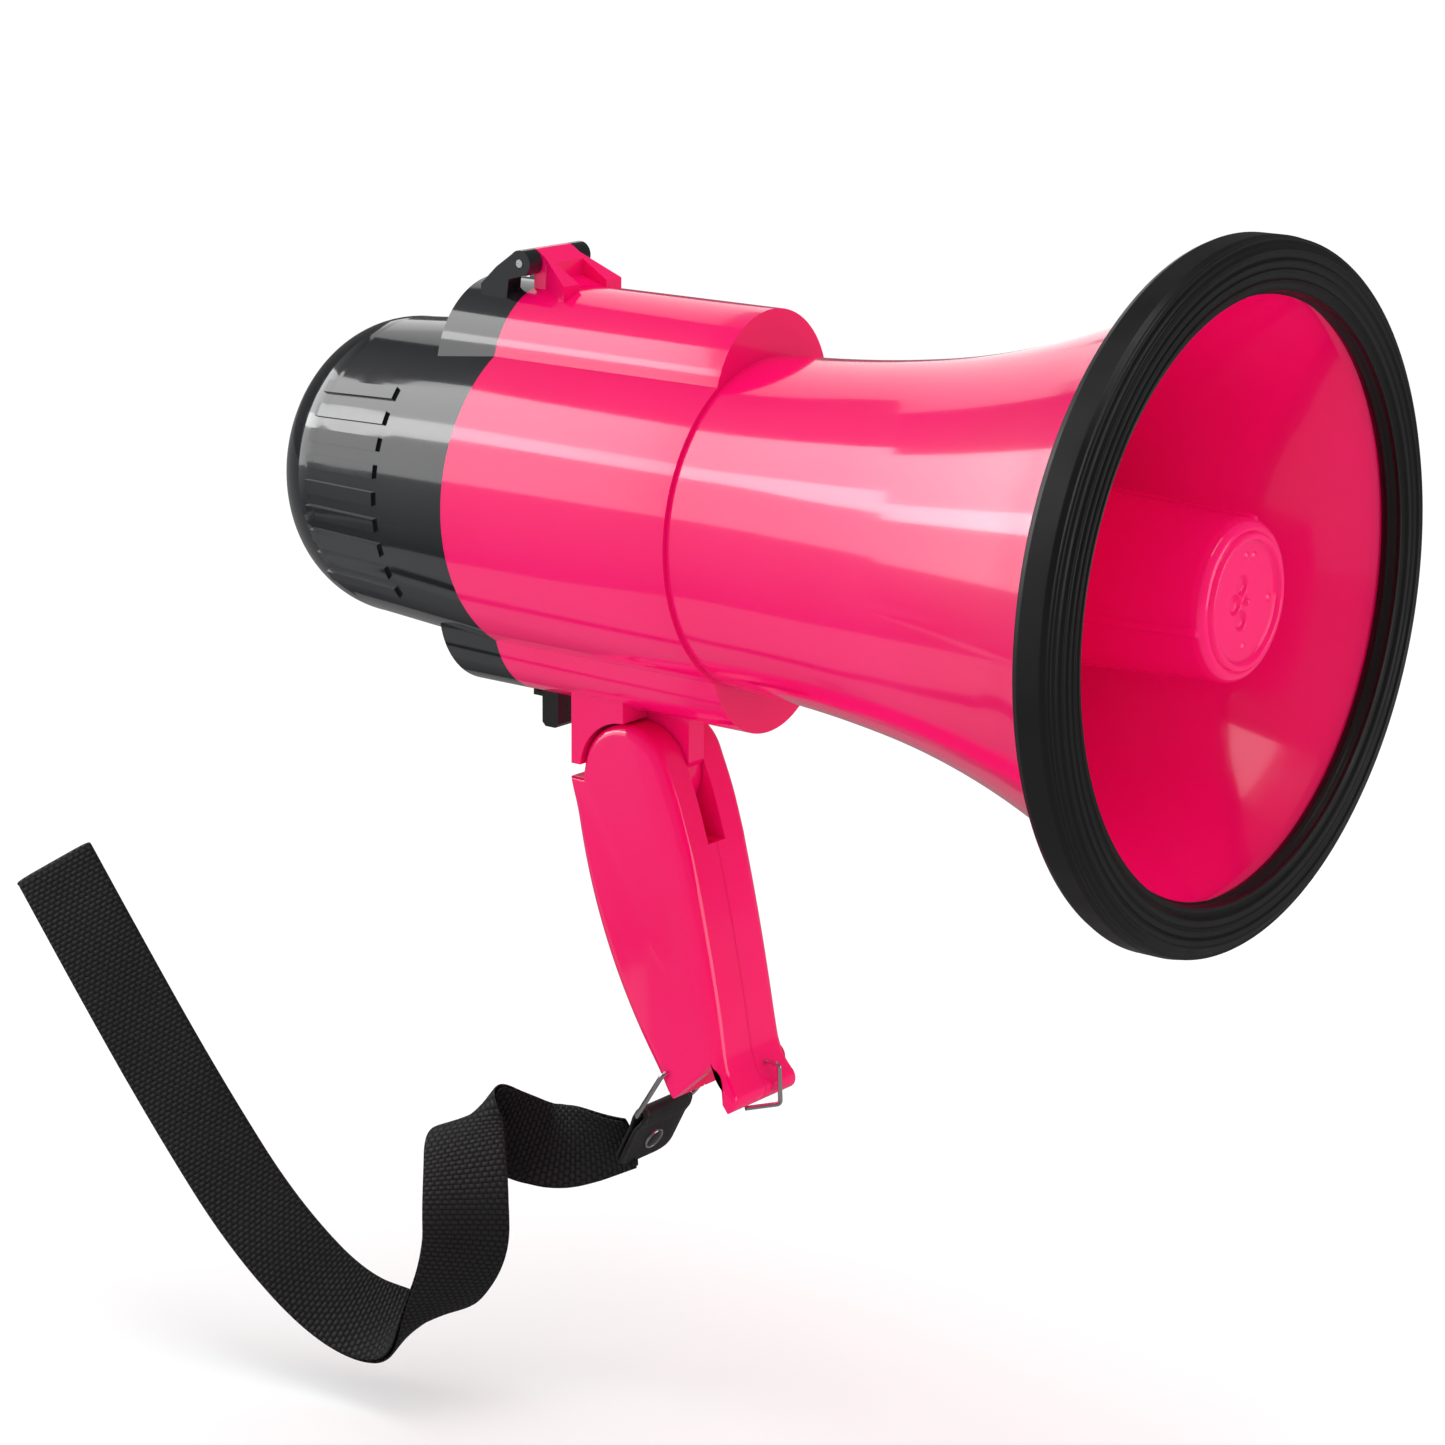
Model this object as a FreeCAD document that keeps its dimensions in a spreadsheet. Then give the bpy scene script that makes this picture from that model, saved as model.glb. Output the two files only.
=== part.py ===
import FreeCAD, Part
import math
import os
from types import SimpleNamespace

# A hand-held battery megaphone with a folding handle.
# +X points out of the horn's mouth, +Y to the left, +Z up, and the origin is in the grip.

from FreeCAD import Placement, Rotation, Vector
from Sketcher import Constraint

doc = FreeCAD.newDocument("megaphone")

# ---------------------------------------------------------------- driving dimensions

DIMENSIONS = {
    # where the horn stands over the grip
    "pivot_drop": 15.0,
    "seam_x": 28.0,
    "horn_length": 132.0,
    "housing_length": 68.5,
    "wall": 2.2,
    "seat_gap": 0.3,
    "slide_gap": 0.2,
    # horn and its rubber rim
    "mouth_radius": 80.0,
    "rim_inner_radius": 67.5,
    "rim_length": 11.0,
    "flange_radius": 76.5,
    "flange_thickness": 2.4,
    "bell_mouth_radius": 71.6,
    "bell_root_radius": 40.4,
    "spigot_length": 5.0,
    "ledge_inset": 24.0,
    # reflector and throat
    "reflector_front_radius": 18.4,
    "reflector_rear_radius": 21.0,
    "reflector_length": 66.0,
    "reflector_setback": 0.8,
    "reflector_wall": 1.8,
    "reflector_shoulder": 3.2,
    "throat_bore": 9.5,
    "throat_outer_radius": 11.4,
    "throat_flange_radius": 37.4,
    "throat_flange_thickness": 2.5,
    # housing section: a round body with a lobe above and a lobe below
    "body_radius": 41.3,
    "lobe_radius": 22.0,
    "lobe_offset": 29.5,
    # driver
    "magnet_radius": 30.0,
    "magnet_bore": 14.0,
    "magnet_length": 12.0,
    "plate_thickness": 3.5,
    "pole_radius": 12.4,
    "coil_radius": 13.2,
    "coil_length": 7.0,
    "cap_radius": 35.0,
    "cap_length": 5.0,
    "diaphragm_radius": 22.0,
    "driver_screw_radius": 1.3,
    # battery bay
    "cell_radius": 13.1,
    "cell_length": 50.0,
    "cell_gap": 0.3,
    "sleeve_wall": 1.5,
    "bulkhead_thickness": 2.5,
    "contact_thickness": 0.5,
    # rear cover
    "cover_lobe_length": 18.0,
    "cover_taper": 3.2,
    "cover_straight": 44.5,
    "cover_round": 23.0,
    "cover_length": 63.5,
    "cover_wall": 2.0,
    "pad_length": 24.0,
    "pad_width": 3.4,
    "pad_height": 0.8,
    "pad_pitch": 9.7,
    "pad_start": 23.5,
    "pads_per_side": 9,
    # cover hinge and latch
    "hinge_rise": 5.5,
    "knuckle_radius": 3.2,
    "knuckle_length": 4.8,
    "barrel_half": 6.6,
    "hinge_pin_radius": 1.0,
    "pin_clearance": 0.06,
    "latch_width": 8.0,
    "latch_length": 5.2,
    "latch_drop": 9.0,
    "latch_pin_radius": 0.8,
    "latch_pin_reach": 1.2,
    # controls on the cover's end
    "control_circle": 19.4,
    "knob_radius": 6.0,
    "knob_height": 7.0,
    "button_radius": 5.5,
    "button_travel": 2.0,
    "switch_travel": 5.0,
    "grille_radius": 10.0,
    "mic_radius": 4.9,
    # folding handle
    "pivot_x": -7.0,
    "pivot_z": 36.5,
    "cheek_radius": 13.0,
    "handle_half": 13.0,
    "handle_wall": 2.2,
    "handle_drop": 80.5,
    "handle_edge": 3.5,
    "tongue_half": 3.0,
    "tongue_gap": 0.4,
    "tongue_radius": 12.2,
    "tongue_front": 13.0,
    "slot_drop": 15.5,
    "block_rear": 16.4,
    "block_gap": 0.6,
    "pivot_pin_radius": 2.5,
    "post_radius": 3.2,
    "screw_radius": 1.2,
    # strap
    "ring_wire": 1.3,
    "ring_half": 11.4,
    "ring_drop": 18.7,
    "ring_angle": 37.0,
    "tab_width": 21.0,
    "tab_length": 16.0,
    "tab_layer": 1.3,
    "band_width": 22.0,
    "band_thickness": 2.8,
}

# heights and places that follow from the sizes above
FOLLOWING = {
    "axis_z": "=pivot_z + pivot_drop + lobe_radius + lobe_offset",
    "hinge_height": "=lobe_offset + lobe_radius + hinge_rise",
    "mouth_x": "=seam_x + horn_length",
    "ledge_x": "=seam_x + ledge_inset",
}
CELLS = {**DIMENSIONS, **FOLLOWING}

sheet = doc.addObject("Spreadsheet::Sheet", "dims")
for row, (alias, value) in enumerate(CELLS.items(), start=1):
    sheet.set(f"A{row}", alias)
    sheet.set(f"B{row}", str(value))
    sheet.setAlias(f"B{row}", alias)
doc.recompute()

parts = []


class Size:
    """A number together with the sheet formula that gives it, so that one expression serves both."""

    def __init__(self, value, text):
        self.value = value
        self.text = text

    def __float__(self):
        return float(self.value)

    def __add__(self, other):
        return combined(self, "+", other)

    def __radd__(self, other):
        return combined(other, "+", self)

    def __sub__(self, other):
        return combined(self, "-", other)

    def __rsub__(self, other):
        return combined(other, "-", self)

    def __mul__(self, other):
        return combined(self, "*", other)

    def __rmul__(self, other):
        return combined(other, "*", self)

    def __truediv__(self, other):
        return combined(self, "/", other)

    def __neg__(self):
        return combined(0, "-", self)


def as_size(thing):
    return thing if isinstance(thing, Size) else Size(thing, repr(thing))


def combined(left, sign, right):
    a = as_size(left)
    b = as_size(right)
    results = {
        "+": lambda: a.value + b.value,
        "-": lambda: a.value - b.value,
        "*": lambda: a.value * b.value,
        "/": lambda: a.value / b.value,
    }
    return Size(results[sign](), f"({a.text} {sign} {b.text})")


# d holds formulas of the sheet's cells for setExpression, and n the same cells as plain numbers
n = SimpleNamespace(**{alias: float(sheet.get(alias)) for alias in CELLS})
d = SimpleNamespace(**{alias: Size(float(sheet.get(alias)), "dims." + alias) for alias in CELLS})


def bind(thing, **formulas):
    for prop, formula in formulas.items():
        thing.setExpression(prop.replace("__", "."), as_size(formula).text)


def keep(thing, label):
    """Marks an object as a sub-part: its Label names its node and its file."""
    thing.Label = label
    parts.append(thing)
    return thing


AXES = {"x": Rotation(Vector(0, 1, 0), 90), "y": Rotation(Vector(1, 0, 0), -90), "z": Rotation()}


def cylinder(name, radius, length, x=0, y=0, z=0, axis="x"):
    rod = doc.addObject("Part::Cylinder", name)
    rod.Placement = Placement(Vector(0, 0, 0), AXES[axis])
    bind(rod, Radius=radius, Height=length)
    bind(rod, Placement__Base__x=x, Placement__Base__y=y, Placement__Base__z=z)
    return rod


def block(name, length, width, height, x, y, z):
    """A box given by its sizes and its lowest corner."""
    box = doc.addObject("Part::Box", name)
    bind(box, Length=length, Width=width, Height=height)
    bind(box, Placement__Base__x=x, Placement__Base__y=y, Placement__Base__z=z)
    return box


def fuse(name, *shapes):
    joined = doc.addObject("Part::MultiFuse", name)
    joined.Shapes = list(shapes)
    joined.Refine = True
    return joined


def cut(name, base, tool):
    result = doc.addObject("Part::Cut", name)
    result.Base = base
    result.Tool = tool
    return result


def ring(name, outer, inner, length, x, y=0, z=d.axis_z, axis="x"):
    """A flat ring or tube between two radii."""
    rim = cylinder(name + "_outer", outer, length, x, y, z, axis)
    bore = cylinder(name + "_bore", inner, length, x, y, z, axis)
    return cut(name, rim, bore)


def feature(name, shape):
    """A shape made with Part's own functions from the sheet's values."""
    thing = doc.addObject("Part::Feature", name)
    thing.Shape = shape
    return thing


def revolved_body(name, outline, x, y=0, z=d.axis_z, flip=False):
    """A PartDesign body turned about the X line through (x, y, z).

    outline is a closed list of (distance along X, radius); flip points its X backwards.
    """
    body = doc.addObject("PartDesign::Body", name)
    sketch = body.newObject("Sketcher::SketchObject", name + "_section")
    planes = {plane.Role: plane for plane in body.Origin.OriginFeatures}
    sketch.AttachmentSupport = (planes["XZ_Plane"], [""])
    sketch.MapMode = "FlatFace"
    places = [Vector(float(along), float(radius), 0) for along, radius in outline]
    for here, there in zip(places, places[1:] + places[:1]):
        sketch.addGeometry(Part.LineSegment(here, there), False)
    count = len(outline)
    for index in range(count):
        sketch.addConstraint(Constraint("Coincident", index, 2, (index + 1) % count, 1))
    for index, (along, radius) in enumerate(outline):
        for kind, formula in (("DistanceX", along), ("DistanceY", radius)):
            number = sketch.addConstraint(Constraint(kind, -1, 1, index, 1, float(formula)))
            sketch.setExpression(f"Constraints[{number}]", as_size(formula).text)
    turn = body.newObject("PartDesign::Revolution", name + "_turn")
    turn.Profile = sketch
    turn.ReferenceAxis = (sketch, ["H_Axis"])
    turn.Angle = 360.0
    if flip:
        body.Placement = Placement(Vector(0, 0, 0), Rotation(Vector(0, 0, 1), 180))
    bind(body, Placement__Base__x=x, Placement__Base__y=y, Placement__Base__z=z)
    return body


def turned(edges):
    """Revolves a closed wire of (along X, radius) edges about the horn's axis."""
    face = Part.Face(Part.Wire(edges))
    solid = face.revolve(Vector(0, 0, 0), Vector(1, 0, 0), 360)
    solid.translate(Vector(0, 0, n.axis_z))
    return solid


def outline_edges(corners):
    """Straight edges round a closed list of (along X, radius) corners."""
    return [line(here, there) for here, there in zip(corners, corners[1:] + corners[:1])]


def line(a, b):
    return Part.LineSegment(Vector(*a), Vector(*b)).toShape()


def arc(a, b, c):
    return Part.Arc(Vector(*a), Vector(*b), Vector(*c)).toShape()


def curve(points):
    spline = Part.BSplineCurve()
    spline.interpolate([Vector(*point) for point in points])
    return spline.toShape()


def prism(points, y_from, y_to):
    """A flat outline of (x, z) corners carried along Y."""
    loop = [Vector(x, y_from, z) for x, z in points]
    face = Part.Face(Part.makePolygon(loop + loop[:1]))
    return face.extrude(Vector(0, y_to - y_from, 0))


def rod_y(radius, y_from, y_to, x, z):
    """A round bar along Y."""
    return Part.makeCylinder(radius, y_to - y_from, Vector(x, y_from, z), Vector(0, 1, 0))


def rod_x(radius, x_from, x_to, y, z):
    """A round bar along X."""
    return Part.makeCylinder(radius, x_to - x_from, Vector(x_from, y, z), Vector(1, 0, 0))


def bent_path(points, bends):
    """Straight runs joined by tangent arcs, one bend radius for each inner point."""
    spots = [Vector(*point) for point in points]
    edges = []
    start = spots[0]
    for before, corner, after, bend in zip(spots, spots[1:], spots[2:], bends):
        inward = (before - corner).normalize()
        onward = (after - corner).normalize()
        half = inward.getAngle(onward) / 2
        setback = bend / math.tan(half)
        entry = corner + inward * setback
        leave = corner + onward * setback
        centre = corner + (inward + onward).normalize() * (bend / math.sin(half))
        middle = centre + (corner - centre).normalize() * bend
        edges.append(Part.LineSegment(start, entry).toShape())
        edges.append(Part.Arc(entry, middle, leave).toShape())
        start = leave
    edges.append(Part.LineSegment(start, spots[-1]).toShape())
    return Part.Wire(edges)


def wire_tube(points, radius, bend):
    """A round wire bent to one radius at each inner point."""
    path = bent_path(points, [bend] * (len(points) - 2))
    start = Vector(*points[0])
    section = Part.Wire([Part.makeCircle(radius, start, Vector(*points[1]) - start)])
    return path.makePipeShell([section], True, False)


# shared stations along the horn's axis
seam = d.seam_x
joint_plane = seam - d.housing_length
bulkhead_x = seam - d.spigot_length - d.bulkhead_thickness
inner_radius = d.body_radius - d.wall
hinge_z = d.axis_z + d.hinge_height


lobe_foot = n.axis_z - n.lobe_offset - n.lobe_radius
latch_pin_x = float(joint_plane) + 0.3 + n.latch_length / 2
latch_pin_z = lobe_foot + 1.7
barb_half = n.latch_width / 2 - 1.0


# ---------------------------------------------------------------- horn bell

def horn_bell():
    """The flared shell: a wall along the flare's curve, with a spigot, a flange and a ledge inside."""
    start = float(seam)
    mouth = n.mouth_x - n.rim_length / 2
    rise = n.bell_mouth_radius - n.bell_root_radius
    flare = [
        (0.0, 0.0), (0.15, 0.03), (0.3, 0.085), (0.45, 0.185), (0.6, 0.34), (0.75, 0.55),
        (0.9, 0.83), (1.0, 1.0),
    ]
    outer = [
        (start + share * (mouth - start), n.bell_root_radius + lift * rise, 0)
        for share, lift in flare
    ]
    inner = [(x, radius - n.wall, 0) for x, radius, _ in outer]
    spigot_end = start - n.spigot_length
    spigot = float(inner_radius) - n.seat_gap
    back = mouth - n.flange_thickness
    lip_radius = inner[-1][1] + n.wall / 2
    shell = turned([
        curve(outer),
        line(outer[-1], inner[-1]),
        curve(inner),
        line(inner[0], (start, spigot - n.wall, 0)),
        line((start, spigot - n.wall, 0), (spigot_end, spigot - n.wall, 0)),
        line((spigot_end, spigot - n.wall, 0), (spigot_end, spigot, 0)),
        line((spigot_end, spigot, 0), (start, spigot, 0)),
        line((start, spigot, 0), outer[0]),
    ])
    lip = turned(outline_edges([
        (back, lip_radius, 0), (mouth, lip_radius, 0), (mouth, n.flange_radius, 0),
        (back, n.flange_radius, 0),
    ]))
    ledge_radius = n.throat_flange_radius - n.wall
    ledge_end = n.ledge_x + n.wall
    ledge = turned(outline_edges([
        (n.ledge_x, ledge_radius, 0), (ledge_end, ledge_radius, 0),
        (ledge_end, n.bell_root_radius, 0), (n.ledge_x, n.bell_root_radius, 0),
    ]))
    return shell.fuse([lip, ledge]).removeSplitter()


keep(feature("bell", horn_bell()), "horn_bell")


# ---------------------------------------------------------------- rubber rim

def rim_section():
    """The rubber rim: a rounded ring with a channel that grips the bell's flange.

    Distances run backwards from the mouth.
    """
    flange_front = d.rim_length / 2
    flange_back = flange_front + d.flange_thickness
    channel = d.flange_radius + d.slide_gap
    bore = d.rim_inner_radius
    outer = d.mouth_radius
    behind = d.bell_mouth_radius + d.seat_gap
    return [
        (1.2, bore + 1.2), (0.0, bore + 3.0), (0.0, outer - 3.2), (1.0, outer - 1.0), (2.6, outer),
        (flange_back + 1.2, outer), (d.rim_length - 0.6, outer - 1.2), (d.rim_length, outer - 3.2),
        (d.rim_length - 0.8, behind), (flange_back, behind), (flange_back, channel),
        (flange_front, channel), (flange_front, bore + 1.0), (flange_front - 1.2, bore), (2.4, bore),
    ]


keep(revolved_body("rim", rim_section(), d.mouth_x, flip=True), "rubber_rim")


# ---------------------------------------------------------------- reflector and throat

def reflector_section():
    """A cup, open at the back, whose closed front has a raised ring. Distances run back from its front."""
    front = d.reflector_front_radius
    rear = d.reflector_rear_radius
    wall = d.reflector_wall
    ring_radius = d.reflector_front_radius - d.reflector_shoulder
    return [
        (1.0, 0), (1.0, ring_radius - 1.6), (0.0, ring_radius - 1.4), (0.0, ring_radius),
        (d.reflector_shoulder * 0.3, front - 0.9), (d.reflector_shoulder, front),
        (d.reflector_length, rear), (d.reflector_length, rear - wall),
        (d.reflector_shoulder + wall, front - wall), (1.0 + wall, ring_radius - 1.0), (1.0 + wall, 0),
    ]


reflector_front = d.mouth_x - d.reflector_setback
reflector_rear = reflector_front - d.reflector_length


# turns about +X from straight up
RIDGE_TURNS = (103, 223, 343)


def reflector_ribs():
    """Three fins inside that stand the cup on the throat tube, and the three ridges along its outside."""
    rear = float(reflector_rear)
    fins = []
    for angle in RIDGE_TURNS:
        fin = Part.makeBox(26, 1.6, n.reflector_rear_radius - n.throat_outer_radius - 1.2,
                           Vector(rear, -0.8, n.throat_outer_radius))
        ridge = Part.makeBox(n.reflector_length - n.reflector_shoulder, 1.8, 2.0,
                             Vector(rear, -0.9, n.reflector_front_radius - 1.3))
        for piece in (fin, ridge):
            piece.rotate(Vector(0, 0, 0), Vector(1, 0, 0), angle)
            piece.translate(Vector(0, 0, n.axis_z))
            fins.append(piece)
    return fins[0].fuse(fins[1:])


cup = revolved_body("cup", reflector_section(), reflector_front, flip=True)
ribs = feature("cup_ribs", reflector_ribs())
keep(fuse("reflector", cup, ribs), "reflector_cup")

tube_front = reflector_front - d.reflector_length / 2
throat_outline = [
    (d.ledge_x - d.throat_flange_thickness, d.throat_bore),
    (d.ledge_x - d.throat_flange_thickness, d.throat_flange_radius),
    (d.ledge_x, d.throat_flange_radius), (d.ledge_x, d.throat_outer_radius),
    (tube_front, d.throat_outer_radius), (tube_front, d.throat_bore),
]


def driver_holes(name):
    """The four screw holes that the driver's cap and the throat's flange share."""
    circle = d.cap_radius - 2.6
    radius = d.driver_screw_radius + 0.05
    start = d.ledge_x - d.throat_flange_thickness - d.cap_length - 1
    length = d.cap_length + d.throat_flange_thickness + 2
    spread = circle * math.sqrt(0.5)
    bores = []
    for index, (y, z) in enumerate(((1, 1), (-1, 1), (-1, -1), (1, -1))):
        bores.append(cylinder(f"{name}_{index}", radius, length, start, spread * y, d.axis_z + spread * z))
    return fuse(name, *bores)


throat_body = revolved_body("throat", throat_outline, as_size(0))
keep(cut("throat_drilled", throat_body, driver_holes("throat_holes")), "throat_tube")


# ---------------------------------------------------------------- driver, from the throat backwards

cap_rear = d.ledge_x - d.throat_flange_thickness - d.cap_length
top_plate_rear = cap_rear - d.plate_thickness
magnet_rear = top_plate_rear - d.magnet_length
pole_rear = magnet_rear - d.plate_thickness

cap_outline = [
    (0, d.diaphragm_radius + 0.6), (0, d.cap_radius), (d.cap_length, d.cap_radius),
    (d.cap_length, d.throat_bore), (d.cap_length - 1.4, d.throat_bore), (2.2, d.diaphragm_radius + 0.6),
]
cap_body = revolved_body("driver_cover", cap_outline, cap_rear)
keep(cut("driver_cover_drilled", cap_body, driver_holes("cap_holes")), "driver_cap")

gap_bore = d.coil_radius + 0.9
keep(
    ring("top_plate", d.magnet_radius - 1.0, gap_bore, d.plate_thickness, top_plate_rear),
    "driver_top_plate",
)
keep(
    ring("magnet", d.magnet_radius, d.magnet_bore + 1.5, d.magnet_length, magnet_rear),
    "driver_magnet",
)

pole_length = d.plate_thickness + d.magnet_length + d.plate_thickness
pole_outline = [
    (0, 0), (0, d.magnet_radius - 1.0), (d.plate_thickness, d.magnet_radius - 1.0),
    (d.plate_thickness, d.pole_radius - 0.6), (pole_length, d.pole_radius - 0.6), (pole_length, 0),
]
keep(revolved_body("pole", pole_outline, pole_rear), "driver_pole_plate")
coil_start = cap_rear + 0.3 - d.coil_length
keep(ring("coil", d.coil_radius, d.coil_radius - 0.8, d.coil_length, coil_start), "voice_coil")

dome_outline = [
    (0.3, 0), (0.3, d.diaphragm_radius), (0.8, d.diaphragm_radius), (1.2, d.coil_radius + 2.0),
    (1.2, d.coil_radius - 2.0), (2.0, 0),
]
keep(revolved_body("dome", dome_outline, cap_rear), "driver_diaphragm")


def driver_screw_places():
    circle = n.cap_radius - 2.6
    angles = [math.radians(45 + 90 * index) for index in range(4)]
    return [(circle * math.cos(angle), n.axis_z + circle * math.sin(angle)) for angle in angles]


def driver_screws():
    """Four slotted pan-head screws along +X, through the cap into the throat's flange."""
    x_head = float(cap_rear)
    screws = []
    for y, z in driver_screw_places():
        shank = rod_x(n.driver_screw_radius, x_head, x_head + n.cap_length + 1.8, y, z)
        cap = rod_x(2.3, x_head - 1.4, x_head, y, z)
        slot = Part.makeBox(0.5, 3.0, 0.5, Vector(x_head - 1.4, y - 1.5, z - 0.25))
        screws.append(shank.fuse(cap).cut(slot))
    return Part.makeCompound(screws)


keep(feature("driver_fixings", driver_screws()), "driver_screws")


# ---------------------------------------------------------------- housing

def lobed(name, radius, lobe, x, length, lobe_x=None, lobe_length=None):
    """A round bar with a lobe along its top and another along its bottom."""
    lobe_x = x if lobe_x is None else lobe_x
    lobe_length = length if lobe_length is None else lobe_length
    return fuse(
        name,
        cylinder(name + "_round", radius, length, x, 0, d.axis_z),
        cylinder(name + "_top", lobe, lobe_length, lobe_x, 0, d.axis_z + d.lobe_offset),
        cylinder(name + "_bottom", lobe, lobe_length, lobe_x, 0, d.axis_z - d.lobe_offset),
    )


def handle_bracket():
    """The block and the tongue under the housing that the handle folds on."""
    under = n.axis_z - n.lobe_offset
    rear = n.pivot_x - n.block_rear
    top = under - n.lobe_radius + 9.0
    keep_clear = n.cheek_radius + n.block_gap
    base = prism([(rear, n.pivot_z + 1.0), (n.pivot_x, n.pivot_z + 1.0), (n.pivot_x, top), (rear, top)],
                 -n.handle_half + 0.3, n.handle_half - 0.3)
    base = base.cut(rod_y(keep_clear, -n.handle_half, n.handle_half, n.pivot_x, n.pivot_z))
    front = n.pivot_x + n.tongue_front
    plate = prism([(rear, n.pivot_z + 1.0), (n.pivot_x - 6, n.pivot_z + 1.0), (n.pivot_x, n.pivot_z - 2),
                   (front - 2.0, n.pivot_z + 1.0), (front, n.pivot_z + 4.0), (front, top), (rear, top)],
                  -n.tongue_half, n.tongue_half)
    eye = rod_y(n.tongue_radius, -n.tongue_half, n.tongue_half, n.pivot_x, n.pivot_z)
    return base.fuse([plate, eye]).removeSplitter()


def hinge_barrel():
    """The middle knuckle on the housing's top lobe, with a web that widens forwards into two gussets."""
    x = float(joint_plane)
    z = float(hinge_z)
    reach = n.knuckle_radius
    half = n.barrel_half
    barrel = rod_y(reach, -half, half, x, z)
    low = n.axis_z + n.lobe_offset + n.lobe_radius - 3.0
    gusset = [
        (x + 0.4, low), (x + 0.4, z - 1.0), (x + 1.6, z + reach - 0.4),
        (x + 13.5, low + 4.0), (x + 13.5, low),
    ]
    side = prism(gusset, -2 * half, 2 * half)
    plan = [Vector(x, -half, low), Vector(x + 4.0, -half, low), Vector(x + 13.5, -half - 4.4, low),
            Vector(x + 13.5, half + 4.4, low), Vector(x + 4.0, half, low), Vector(x, half, low)]
    spread = Part.Face(Part.makePolygon(plan + plan[:1])).extrude(Vector(0, 0, 20))
    hollow = prism([(x + 6.0, z + 6.0), (x + 15.0, z + 6.0), (x + 15.0, low + 1.6), (x + 6.0, low + 4.6)],
                   -half + 1.4, half - 1.4)
    return barrel.fuse(side.common(spread).cut(hollow)).removeSplitter()


outer_body = lobed("housing_skin", d.body_radius, d.lobe_radius, joint_plane, d.housing_length)
bracket = feature("bracket", handle_bracket())
barrel = feature("barrel", hinge_barrel())
solid_body = fuse("housing_solid", outer_body, bracket, barrel)
bay = lobed("housing_bay", inner_radius, d.lobe_radius - d.wall, joint_plane - 1, d.housing_length + 2,
            joint_plane - 1, d.housing_length + 1 - d.wall)
pivot_bore = cylinder("pivot_bore", d.pivot_pin_radius + d.pin_clearance, 2 * d.handle_half,
                      d.pivot_x, -d.handle_half, d.pivot_z, "y")
hinge_bore = cylinder("hinge_bore", d.hinge_pin_radius + d.pin_clearance, 4 * d.barrel_half,
                      joint_plane, -2 * d.barrel_half, hinge_z, "y")
slot_half = d.latch_width / 2 + d.slide_gap
slot_foot = d.axis_z - d.lobe_offset - d.lobe_radius - 1
latch_slot = block(
    "latch_slot", d.latch_length + 3.0, 2 * slot_half, 6, joint_plane - 1, -slot_half, slot_foot,
)
latch_half = d.latch_width / 2 + d.latch_pin_reach + 0.2
latch_bore = cylinder("latch_bore", d.latch_pin_radius + d.pin_clearance, 2 * latch_half,
                      joint_plane + 0.3 + d.latch_length / 2, -latch_half,
                      d.axis_z - d.lobe_offset - d.lobe_radius + 1.7, "y")
keep(
    cut(
        "housing_shell", solid_body,
        fuse("housing_cuts", bay, pivot_bore, hinge_bore, latch_slot, latch_bore),
    ),
    "main_housing",
)

keep(
    cylinder("bell_plate", inner_radius - d.seat_gap, d.bulkhead_thickness, bulkhead_x, 0, d.axis_z),
    "bay_bulkhead",
)


# ---------------------------------------------------------------- batteries

cell_rear = bulkhead_x - d.cell_length - 3.4
sleeve_bore = d.cell_radius + d.cell_gap
sleeve_radius = sleeve_bore + d.sleeve_wall
upper = d.axis_z + d.lobe_offset + d.lobe_radius - d.wall - d.seat_gap - sleeve_radius
lower = 2 * d.axis_z - upper
aside = inner_radius - d.seat_gap - sleeve_radius
cell_places = {
    "top": (0, upper), "bottom": (0, lower), "left": (aside, d.axis_z), "right": (-aside, d.axis_z),
}
sleeve_x = cell_rear + 4
sleeve_length = d.cell_length - 6

sleeves = [
    cylinder(f"sleeve_{side}", sleeve_radius, sleeve_length, sleeve_x, y, z)
    for side, (y, z) in cell_places.items()
]
bores = [cylinder(f"sleeve_bore_{side}", sleeve_bore, sleeve_length + 2, sleeve_x - 1, y, z)
         for side, (y, z) in cell_places.items()]
upright = block(
    "tray_upright", sleeve_length, 2, upper - lower - 2 * sleeve_bore, sleeve_x, -1,
    lower + sleeve_bore,
)
level = block(
    "tray_level", sleeve_length, 2 * (aside - sleeve_bore), 2, sleeve_x, -(aside - sleeve_bore),
    d.axis_z - 1,
)
tray_solid = fuse("tray_solid", *sleeves, upright, level)
keep(cut("tray", tray_solid, fuse("tray_bores", *bores)), "battery_tray")

for side, (y, z) in cell_places.items():
    can = cylinder(f"can_{side}", d.cell_radius, d.cell_length - 1.5, cell_rear, y, z)
    button = cylinder(f"button_{side}", 3.0, 1.5, cell_rear + d.cell_length - 1.5, y, z)
    keep(fuse(f"cell_{side}", can, button), f"battery_cell_{side}")


def contact_set(x_from, x_to, plate_x):
    """A spring cone and a plate for each cell, as a group of separate solids."""
    pieces = []
    for y, z in (
        (0, float(upper)), (0, float(lower)), (float(aside), n.axis_z), (-float(aside), n.axis_z),
    ):
        length = abs(x_to - x_from)
        way = Vector(1 if x_to > x_from else -1, 0, 0)
        foot = Vector(x_from, y, z)
        cone = Part.makeCone(5.0, 3.0, length, foot, way).cut(
            Part.makeCone(4.2, 2.2, length, foot, way)
        )
        plate = rod_x(6.5, plate_x, plate_x + n.contact_thickness, y, z)
        pieces.append(plate.fuse(cone))
    return Part.makeCompound(pieces)


front_plate_x = float(bulkhead_x) - n.contact_thickness
keep(
    feature(
        "front_set",
        contact_set(front_plate_x, float(cell_rear) + n.cell_length + 0.1, front_plate_x),
    ),
    "front_contacts",
)


# ---------------------------------------------------------------- rear cover

cover_x = float(joint_plane)
cover_end = cover_x - n.cover_length


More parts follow.
